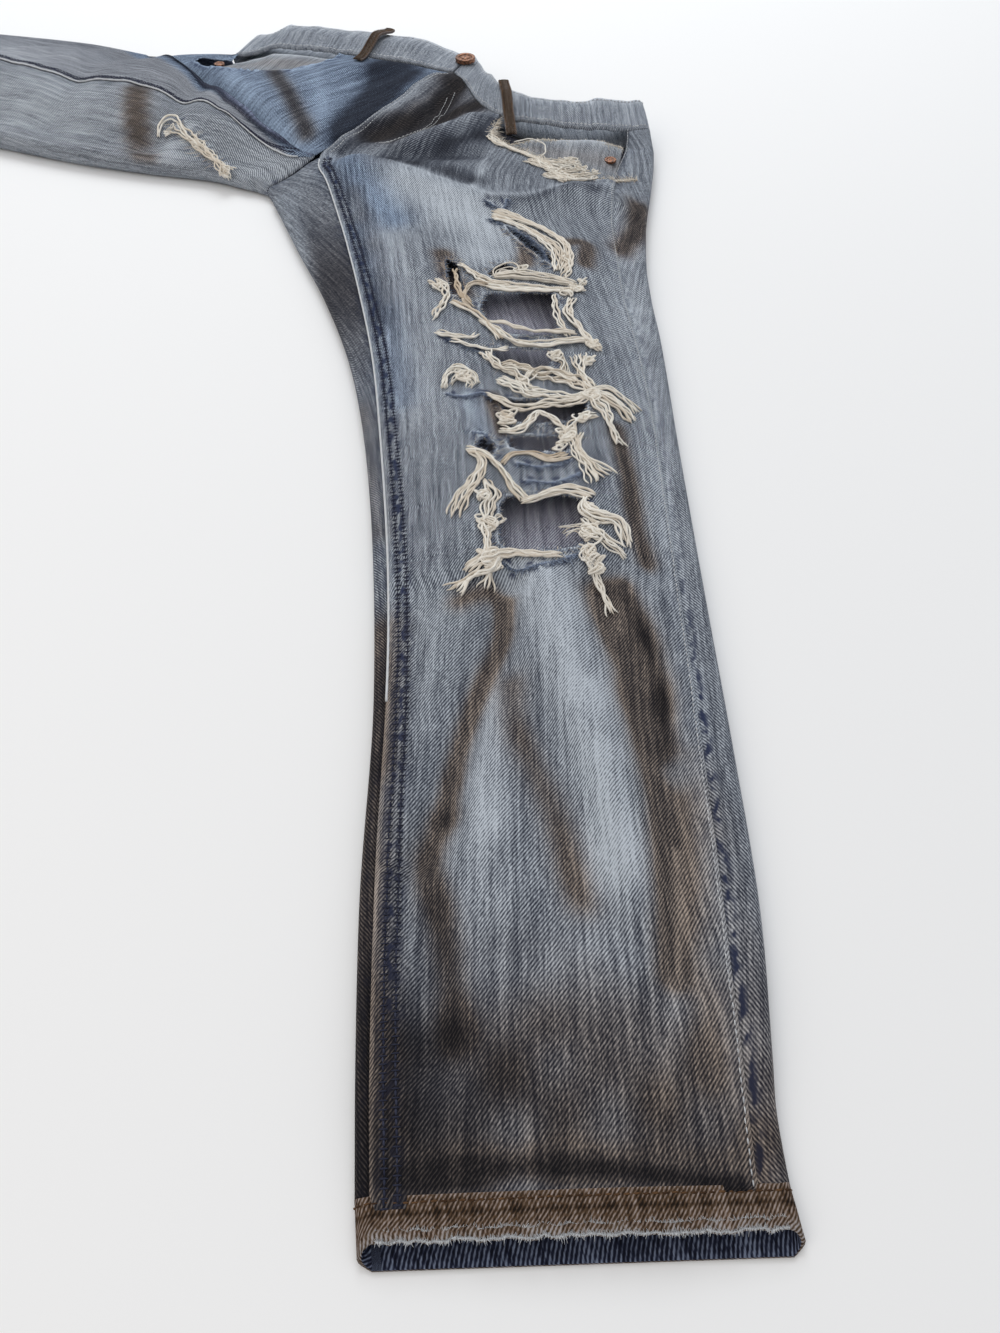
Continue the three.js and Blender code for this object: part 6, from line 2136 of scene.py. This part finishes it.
def along_column(weave: Weave, column: float, lift: float) -> Array:
    """A line down a grid between two of its columns."""
    k = int(min(column, weave.rows.shape[1] - 2))
    normal = normals_of(weave.rows, weave.facing, weave.looped)
    return mix(weave.rows[:, k], weave.rows[:, k + 1], column - k) + normal[:, k] * lift


def fringe(
    outlines: Sequence[Array], height: Curve, seed: int, length: float, spacing: float,
    inward: float = 1.0, radius: float = 0.16,
) -> Strands:
    """Fine fibres that stand out from cut edges.

    Args:
        outlines: closed or open edges, in plan.
        height: of the cloth there.
        seed: of their unevenness.
        length: usual length of a fibre, in millimetres.
        spacing: between fibres along the edge.
        inward: 1 to lean into the hole, -1 to lean over the cloth.
        radius: of a fibre.

    Returns:
        Their routes, radii and tones.
    """
    rng = np.random.default_rng(seed)
    routes, radii, tones = [], [], []
    for outline in outlines:
        route = Route(outline, 1)
        roots = np.arange(0, 1, spacing / route.length)
        roots = np.clip(roots + rng.normal(0, 0.3, len(roots)) * spacing / route.length, 0, 1)
        starts, ways = route(roots), route(np.minimum(roots + 0.01, 1)) - route(np.maximum(roots - 0.01, 0))
        grounds = height(starts) + 0.3
        for start, way, ground in zip(starts, ways, grounds):
            out = (
                np.array([-way[1], way[0]]) / max(np.linalg.norm(way), 1e-9) * inward
                + rng.normal(0, 0.45, 2)
            )
            size = length * rng.uniform(0.35, 1.3)
            s = np.linspace(-0.3, 1, 5)[:, None]
            p = start + out * s * size + rng.normal(0, 0.35, 2) * size * s**2
            z = ground + rng.uniform(0, 0.9) * s[:, 0] - 0.6 * s[:, 0] ** 2 * rng.uniform(-1, 1)
            routes.append(np.concatenate([p, z[:, None]], 1))
            radii.append(radius * np.array([1, 1, 0.9, 0.7, 0.35]))
            tones.append(float(rng.uniform(0.1, 1)))
    return routes, radii, tones


# ---------------------------------------------------------------- the jeans


class Slot(Enum):
    """The record's material slots."""

    FADED = "faded_denim"
    BLUE = "blue_denim"
    GREY = "grey_denim"
    BAND = "waistband"
    HEM = "hem"
    FACING = "facing"
    YARN = "yarn"
    COPPER = "copper"


@dataclass
class Kit:
    """What every sub-assembly shares: the finishes, and how a piece joins the frame."""

    finishes: Finishes
    pieces: dict[str, Object] = field(default_factory=dict)

    def keep(self, obj: Object, slot: Slot, nodes: Sequence[str] = ()) -> Object:
        """Puts a piece on the frame.

        Args:
            obj: the finished piece.
            slot: not used.
            nodes: the solids that it stands for.

        Returns:
            The same piece.
        """
        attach(obj, "root")
        if nodes:
            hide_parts(*nodes)
        self.pieces[obj.name] = obj
        log.info("%s: %d faces", obj.name, len(obj.data.polygons))
        return obj

    def dyed(self, obj: Object, finish: str) -> Object:
        """Gives a piece its only material."""
        obj.data.materials.clear()
        obj.data.materials.append(self.finishes[finish])
        return obj


@dataclass
class Panels:
    """The cloth of both legs and the hips, with the rips cut and their edges frayed."""

    kit: Kit
    thickness: float = 1.0

    def build(self) -> None:
        """Makes every panel."""
        rips = [rounded_outline(c, seed=10 + k) for k, c in enumerate(RIPS)]
        mouth = rounded_outline([*POCKET_MOUTH, *POCKET_BEYOND], 0.12, 0.5, 40)
        self.left_front = left_front_weave()
        cut(self.left_front, [*rips, mouth], LAY.body)
        front = self.panel("left_front", self.left_front, "washed_denim", Slot.FADED)
        back = self.panel("left_back", left_back_weave(), "washed_denim", Slot.FADED)
        self.right_front = right_front_weave()
        right_mouth = rounded_outline([*RIGHT_MOUTH, *RIGHT_BEYOND], 0.12, 0.3, 41)
        cut(self.right_front, [right_mouth], LAY.body, 1.2)
        front = self.panel("right_front", self.right_front, "washed_denim", Slot.BLUE)
        self.right_back = right_back_weave()
        cut(self.right_back, [rounded_outline(RIGHT_RIP, seed=30)], LAY.thigh)
        back = self.panel("right_back", self.right_back, "grey_denim", Slot.GREY)
        for side, waist in (("left", left_waist), ("right", right_waist)):
            left = side == "left"
            denim = "washed_denim" if left else "grey_denim"
            cloth = self.panel(f"yoke_{side}", yoke_weave(waist, left), denim, Slot.FADED)
        self.fray(rips, mouth)

    def panel(self, name: str, weave: Weave, denim: str, slot: Slot) -> Object:
        """One panel in place of its solid, with the cloth's paler inner face."""
        faces = [self.kit.finishes[denim], self.kit.finishes["inner_denim"]]
        return self.kit.keep(cloth_shell(f"{name}_cloth", weave, self.thickness, faces), slot, [name])

    def fray(self, rips: Sequence[Array], mouth: Array) -> None:
        """Makes the blue and the white fibres at the torn edges."""
        right = [rounded_outline(RIGHT_RIP, seed=30)]
        blue = together([
            fringe([Route(line, 8).points for line in TORN], LAY.body, 59, 3.0, 0.18, -1.0, 0.2),
            fringe(rips, LAY.body, 60, 2.8, 0.4),
            fringe(rips, LAY.body, 61, 1.8, 0.6, -1.0),
            fringe(right, LAY.thigh, 62, 2.6, 0.6),
        ])
        self.kit.keep(self.kit.dyed(tubes("blue_fray", *blue, sides=3), "blue_fray"), Slot.FADED)
        torn = mouth[(mouth[:, 1] < 30) & (mouth[:, 0] < 240) & (mouth[:, 1] > -80)]
        white = together([
            fringe(rips, LAY.body, 63, 4.2, 1.1),
            fringe([torn], LAY.body, 64, 4.5, 0.35, 1.0, 0.2),
            fringe([torn], LAY.body, 65, 3.0, 0.5, -1.0, 0.2),
            fringe([FACING_TOP.spaced(2)], lambda p: LAY.body(p) - 2.5, 66, 4.0, 0.45, -1.0, 0.18),
            fringe(right, LAY.thigh, 67, 4.5, 1.0),
        ])
        self.kit.keep(self.kit.dyed(tubes("white_fray", *white, sides=4), "cream_yarn"), Slot.YARN)

    def fray_hem(self, hem: Weave) -> None:
        """Makes the worn fibres along the hem's edge."""
        top_of_ring = (HEM.turn_places, HEM.turn_places + HEM.front_places - 1)
        lip = along_row(hem, HEM.rows - 1.2, 0.0, top_of_ring)[:, :2]
        above = lip + np.array([0.0, 3.2])
        made = together([
            fringe([lip], lambda p: LAY.body(p) + 0.4, 70, 0.8, 0.2, 1.0, 0.12),
            fringe([lip], lambda p: LAY.body(p) + 0.5, 71, 0.9, 0.3, -1.0, 0.12),
            fringe([above], lambda p: LAY.body(p) + 0.5, 72, 0.7, 0.4, 1.0, 0.12),
        ])
        self.kit.keep(self.kit.dyed(tubes("hem_fray", *made, sides=4), "pale_thread"), Slot.HEM)


@dataclass
class Trims:
    """Waistband, hems, facings, back pockets and belt loops."""

    kit: Kit
    band: float = 2.2

    def build(self) -> None:
        """Makes every trim and keeps its grid for the stitches."""
        f = self.kit.finishes
        self.grids: dict[str, Weave] = {
            "waistband_left": band_weave(left_waist, left_top, [(265, 11.5), (267, 49)], (1, 0.06), 0.9),
            "waistband_right": band_weave(
                right_waist, right_top, [(-70, 222.8), (-50, 257)], (-0.93, 0.37), -0.9
            ),
            "hem_left": self.left_hem(),
            "hem_right": self.right_hem(),
        }
        for name, finish, slot, flat in (
            ("waistband_left", "band_denim", Slot.BAND, (0.46, 0.040)),
            ("waistband_right", "band_denim", Slot.BAND, (0.46, 0.040)),
            ("hem_left", "hem_denim", Slot.HEM, (0.31, 0.016)),
            ("hem_right", "hem_denim", Slot.HEM, (0.31, 0.016)),
        ):
            faces = [f[finish], f["hem_inside"]] if slot is Slot.HEM else [f[finish]]
            thick = 1.7 if slot is Slot.HEM else self.band
            strap = folded_strap(f"{name}_cloth", self.grids[name], thick, faces)
            self.kit.keep(strap, slot, [name])
        for side, weave in (
            ("left", facing_weave(FACING_TOP, FACING_FOOT, -1)),
            ("right", facing_weave(RIGHT_FACING_TOP, RIGHT_FACING_FOOT, -1)),
        ):
            cloth = cloth_shell(
                f"pocket_facing_{side}_cloth", weave, 1.0, [f["grey_denim"], f["grey_denim"]]
            )
            self.kit.keep(cloth, Slot.FACING, [f"pocket_facing_{side}"])
        for side, sign in (("left", 1), ("right", -1)):
            self.grids[f"back_pocket_{side}"] = pocket_weave(sign)
            weave = self.grids[f"back_pocket_{side}"]
            cloth = folded_strap(f"back_pocket_{side}_cloth", weave, 1.4, [f["washed_denim"]])
            self.kit.keep(cloth, Slot.FADED, [f"back_pocket_{side}"])
        self.loops()

    def left_hem(self) -> Weave:
        """The left leg's hem."""
        inner = np.array([inner_side(-711.0), -711.0])
        outer = np.array([outer_side(-725.0), -725.0])
        outs = (np.array([-1.0, 0.0]), np.array([1.0, 0.0]))
        return hem_weave(inner, outer, outs, np.array([0.0, -1.0]), EDGE, LAY.body, 1)

    def right_hem(self) -> Weave:
        """The right leg's hem."""
        near, far = swung(729.0, near_side(729.0)), swung(729.0, far_side(729.0))
        return hem_weave(near, far, (NEAR_OUT, FAR_OUT), LEG_AXIS, LAY.roll, LAY.thigh, -1)

    def loops(self) -> None:
        """The five belt loops."""
        places = {
            "front_left": ((152.5, 3), (157.5, 87), LAY.body, 2.2, 2.6),
            "front_right": ((41, 163), (73, 208.5), LAY.body, 2.2, 2.6),
            "back_middle": ((121, 141), (150, 178), None, 0, 0.1),
        }
        for side, share, seam, top in (
            ("left", 0.68, left_waist, left_top),
            ("right", 0.55, right_waist, right_top),
        ):
            a, b = seam(share), top(share)
            places[f"back_{side}"] = (a + unit(b, a) * 3, b + unit(a, b) * 6, None, 0, 0.1)
        for name, (foot, head, height, bow, clear) in places.items():
            weave = loop_weave(np.array(foot), np.array(head), height, bow, clear)
            self.grids[f"belt_loop_{name}"] = weave
            strap = folded_strap(f"belt_loop_{name}_cloth", weave, 1.3, [self.kit.finishes["hem_denim"]])
            self.kit.keep(strap, Slot.BAND, [f"belt_loop_{name}"])


INSEAM_ROWS = (5, 9.4)


def on_left_leg(line: Array) -> Array:
    """The part of a line below the crotch on the left leg."""
    return line[line[:, 1] < -4]


def on_right_leg(line: Array, start: float) -> Array:
    """The part of a line beyond a distance down the right leg."""
    return line[line[:, :2] @ LEG_AXIS > start]


@dataclass
class Sewing:
    """Every visible row of stitches."""

    kit: Kit
    panels: Panels
    trims: Trims

    def build(self) -> None:
        """Makes the stitches, one piece for each thread and place."""
        g, front, other = self.trims.grids, self.panels.left_front, self.panels.right_front
        leg = [on_left_leg(beside(front, d, lift=0.12)) for d in INSEAM_ROWS]
        rolled = [on_right_leg(beside(other, d, lift=0.12), 14) for d in INSEAM_ROWS]
        self.row(
            "inseam_stitches", [*leg, *rolled], "navy_thread", Slot.FADED, pitch=3.0, share=0.78,
            radius=0.42,
        )
        rungs = ladder(front, INSEAM_ROWS, lambda p: p[1] < -4)
        rungs += ladder(other, INSEAM_ROWS, lambda p: p[:2] @ LEG_AXIS > 14)
        radii = [np.array([0.2, 0.34, 0.34, 0.2])] * len(rungs)
        piece = tubes("inseam_rungs", rungs, radii, [0.5] * len(rungs), sides=4)
        self.kit.keep(self.kit.dyed(piece, "navy_thread"), Slot.FADED)
        sides = [beside(front, 1.6, last=True, lift=0.1)]
        self.row("outseam_stitches", sides, "pale_thread", Slot.FADED, pitch=3.2, share=0.72, radius=0.27)
        rise_rows = [beside(front, d) for d in (2.4, 6.8)]
        rise_rows = [line[(line[:, 1] > 4) & (line[:, 1] < 128)] for line in rise_rows]
        curve = [(34, 30), (48, 14), (66, 6), (81, 11), (93, 32), (105, 58), (119, 98)]
        fly = [Route(curve), Route([(x - 4.2, y + 2.2) for x, y in curve])]
        rise_rows += [over(r.spaced(1.2), LAY.body, 1.2) for r in fly]
        self.row("fly_stitches", rise_rows, "pale_thread", Slot.FADED, pitch=3.2, share=0.7, radius=0.3)
        left = on_left_leg(beside(front, 0.3, lift=0.35))
        edges = [left[left[:, 1] > -512], on_right_leg(beside(other, 0.3, lift=0.35), 10)]
        rolls = tubes("inseam_edges", edges, [np.full(len(e), 0.62) for e in edges], [0.8, 0.7], sides=6)
        self.kit.keep(self.kit.dyed(rolls, "pale_thread"), Slot.FADED)
        hems = [along_row(g[f"hem_{side}"], 1.5, 0.12) for side in ("left", "right")]
        belts = [w for name, w in g.items() if name.startswith("belt_loop")]
        loops = [along_column(w, c, 0.1) for w in belts for c in (0.9, 5.1)]
        self.row(
            "brown_stitches", [*hems, *loops], "brown_thread", Slot.HEM, pitch=3.2, share=0.74,
            radius=0.36,
        )
        bands = [
            along_row(g[f"waistband_{side}"], r, 0.12) for side in ("left", "right") for r in (0.55, 7.3)
        ]
        self.row("waist_stitches", bands, "pale_thread", Slot.BAND, pitch=3.2, share=0.74, radius=0.3)
        pockets = []
        for side in ("left", "right"):
            w = g[f"back_pocket_{side}"]
            pockets += [along_column(w, c, 0.03) for c in (1.2, 3.4, 41.6, 43.8)]
            pockets += [along_row(w, r, 0.03) for r in (1.4, 3.6, 38.4, 40)]
        self.row("back_stitches", pockets, "brown_thread", Slot.FADED, pitch=3.2, share=0.74, radius=0.28)

    def row(self, name: str, lines: Sequence[Array], thread: str, slot: Slot, **options: float) -> None:
        """One piece of stitches in one thread."""
        self.kit.keep(self.kit.dyed(stitch_piece(name, lines, **options), thread), slot)


@dataclass
class LooseYarns:
    """The yarns left hanging in the rips, and the tuft at the pocket mouth."""

    kit: Kit

    def build(self) -> None:
        """Makes one piece for each rip."""
        for k, (name, parts) in enumerate(YARNS.items()):
            piece = yarn_piece(f"{name}_strands", parts, LAY.body, k + 1)
            self.kit.keep(self.kit.dyed(piece, "cream_yarn"), Slot.YARN, [name])
        piece = yarn_piece("rip_yarns_right_leg_strands", RIGHT_YARNS, LAY.thigh, 20)
        self.kit.keep(self.kit.dyed(piece, "cream_yarn"), Slot.YARN, ["rip_yarns_right_leg"])
        tuft = [
            B([(162, -36), (170, -50), (178, -64), (186, -78)], 30, 17, 0.36, 0.9, 0.5, light=0.85),
            B([(164, -40), (178, -46), (188, -48), (198, -46)], 14, 9, 0.34, 0.9, 0.5, light=0.85),
            B([(166, -62), (178, -70), (192, -72), (206, -64)], 16, 11, 0.34, 0.8, 0.5, light=0.8),
            B([(170, -50), (182, -58), (196, -60)], 12, 10, 0.34, 0.9, 0.5, light=0.9),
            B([(135, 6), (139, -6), (148, -18), (160, -32), (168, -42)], 9, 5, 0.42, 0.6, 0.5, light=0.95),
            B([(150, -12), (164, -8), (172, -14), (174, -28), (168, -40)], 1, 0, 0.45, 0.5, 1.2, light=0.95),
            K((196, -58), 6, 8, 0.34, 0.8), K((206, -62), 4, 5, 0.34, 0.8), K((188, -46), 7, 8, 0.34, 0.85),
            K((176, -60), 7, 10, 0.36, 0.9),
        ]
        piece = yarn_piece("pocket_mouth_tuft", tuft, LAY.body, 30)
        self.kit.keep(self.kit.dyed(piece, "cream_yarn"), Slot.YARN)


@dataclass
class Hardware:
    """The waist button and the pocket rivets."""

    kit: Kit
    step: float = 0.08
    shoulder: float = 0.10
    rounding: float = 0.16

    def build(self) -> None:
        """Makes the button and both rivets in place of their solids."""
        self.stud("waist_button", rim=0.30, dish=0.30, crown=0.22)
        self.stud("rivet_left", rim=0.34, dish=0.25, crown=0.5)
        self.stud("rivet_right", rim=0.34, dish=0.25, crown=0.5)

    def stud(self, node: str, rim: float, dish: float, crown: float) -> None:
        """A turned stud: a rounded rim, a dished ring and a crowned middle.

        Args:
            node: the solid that it stands for.
            rim: the rim's width, as a share of the radius.
            dish: the ring's depth, as a share of the height.
            crown: the middle's width, as a share of the radius.
        """
        low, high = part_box(node)
        radius, height = (high.x - low.x) / 2, high.z - low.z
        bpy.ops.object.select_all(action="DESELECT")
        bpy.ops.mesh.primitive_cylinder_add(
            vertices=48, radius=radius, depth=height, location=(low + high) / 2
        )
        stud = bpy.context.object
        stud.name = f"{node}_head"
        bpy.ops.object.transform_apply(location=True, rotation=True, scale=True)
        bpy.ops.object.mode_set(mode="EDIT")
        bpy.ops.mesh.select_all(action="DESELECT")
        bpy.ops.object.mode_set(mode="OBJECT")
        for face in stud.data.polygons:
            face.select = face.normal.z > 0.9
        bpy.ops.object.mode_set(mode="EDIT")
        bpy.ops.mesh.inset(thickness=radius * rim, depth=0)
        bpy.ops.mesh.inset(thickness=radius * self.step, depth=-height * dish)
        bpy.ops.mesh.inset(thickness=radius * crown * 0.6, depth=0)
        bpy.ops.mesh.inset(thickness=radius * self.shoulder, depth=height * dish * 0.9)
        bpy.ops.object.mode_set(mode="OBJECT")
        bevel = stud.modifiers.new("rounding", "BEVEL")
        bevel.width = height * self.rounding
        bevel.segments = 3
        bevel.limit_method = "ANGLE"
        apply_all(stud)
        bpy.ops.object.shade_smooth_by_angle(angle=math.radians(35))
        self.kit.keep(self.kit.dyed(stud, "dull_copper"), Slot.COPPER, [node])


@dataclass(frozen=True)
class Studio:
    """Pale floor, soft lights and the camera."""

    eye: Spot = (0.0434, -0.7767, 0.370)
    pitch: float = 52.18
    yaw: float = 6.88
    roll: float = -0.84
    lens: float = 26.52

    def build(self) -> None:
        """Makes everything round the jeans."""
        self.floor()
        self.light("key", (0.15, 1.25, 1.35), (0.08, -0.15, 0.0), 1.1, 17.0, (0.93, 0.97, 1.0))
        self.light("fill", (-0.9, -0.9, 0.9), (0.08, -0.25, 0.0), 1.0, 3.0, (1.0, 0.88, 0.74))
        world = bpy.data.worlds.new("studio")
        world.use_nodes = True
        world.node_tree.nodes["Background"].inputs["Color"].default_value = (0.97, 0.98, 1.0, 1)
        world.node_tree.nodes["Background"].inputs["Strength"].default_value = 0.63
        bpy.context.scene.world = world
        bpy.context.scene.view_settings.view_transform = "Standard"
        self.camera()

    def floor(self) -> None:
        """A wide pale floor just under the jeans."""
        bpy.ops.object.select_all(action="DESELECT")
        bpy.ops.mesh.primitive_plane_add(size=14.0, location=(0, 0, -0.0006))
        plane = bpy.context.object
        plane.name = "floor"
        g = Graph.material("pale_floor")
        bsdf = g.surface(None, 0.95, None)
        bsdf.inputs["Base Color"].default_value = (0.94, 0.94, 0.94, 1)
        plane.data.materials.append(g.owner)

    def light(self, name: str, at: Spot, aim: Spot, size: float, power: float, color: Color) -> None:
        """A square soft light."""
        data = bpy.data.lights.new(name, "AREA")
        data.shape = "SQUARE"
        data.size, data.energy, data.color = size, power, color
        lamp = bpy.data.objects.new(name, data)
        lamp.location = at
        lamp.rotation_euler = (Vector(aim) - Vector(at)).to_track_quat("-Z", "Y").to_euler()
        bpy.context.scene.collection.objects.link(lamp)

    def camera(self) -> None:
        """The camera, low over the hem and looking towards the waist."""
        p, y, r = (math.radians(a) for a in (self.pitch, self.yaw, self.roll))
        ahead = Vector((math.sin(y) * math.cos(p), math.cos(y) * math.cos(p), -math.sin(p)))
        level = Vector((math.cos(y), -math.sin(y), 0))
        above = level.cross(ahead)
        right = level * math.cos(r) + above * math.sin(r)
        up = above * math.cos(r) - level * math.sin(r)
        data = bpy.data.cameras.new("view")
        data.lens, data.sensor_width, data.clip_start = self.lens, 36.0, 0.02
        camera = bpy.data.objects.new("view", data)
        aimed = Matrix((right, up, -ahead)).transposed().to_4x4()
        camera.matrix_world = Matrix.Translation(self.eye) @ aimed
        bpy.context.scene.collection.objects.link(camera)
        bpy.context.scene.camera = camera


def main() -> None:
    """Builds the jeans and their setting."""
    kit = Kit(Finishes())
    Studio().build()
    panels, trims = Panels(kit), Trims(kit)
    panels.build()
    trims.build()
    panels.fray_hem(trims.grids["hem_left"])
    Sewing(kit, panels, trims).build()
    LooseYarns(kit).build()
    Hardware(kit).build()
    total = sum(len(o.data.polygons) for o in kit.pieces.values())
    log.info("%d pieces, %d faces", len(kit.pieces), total)


if __name__ == "__main__":
    main()
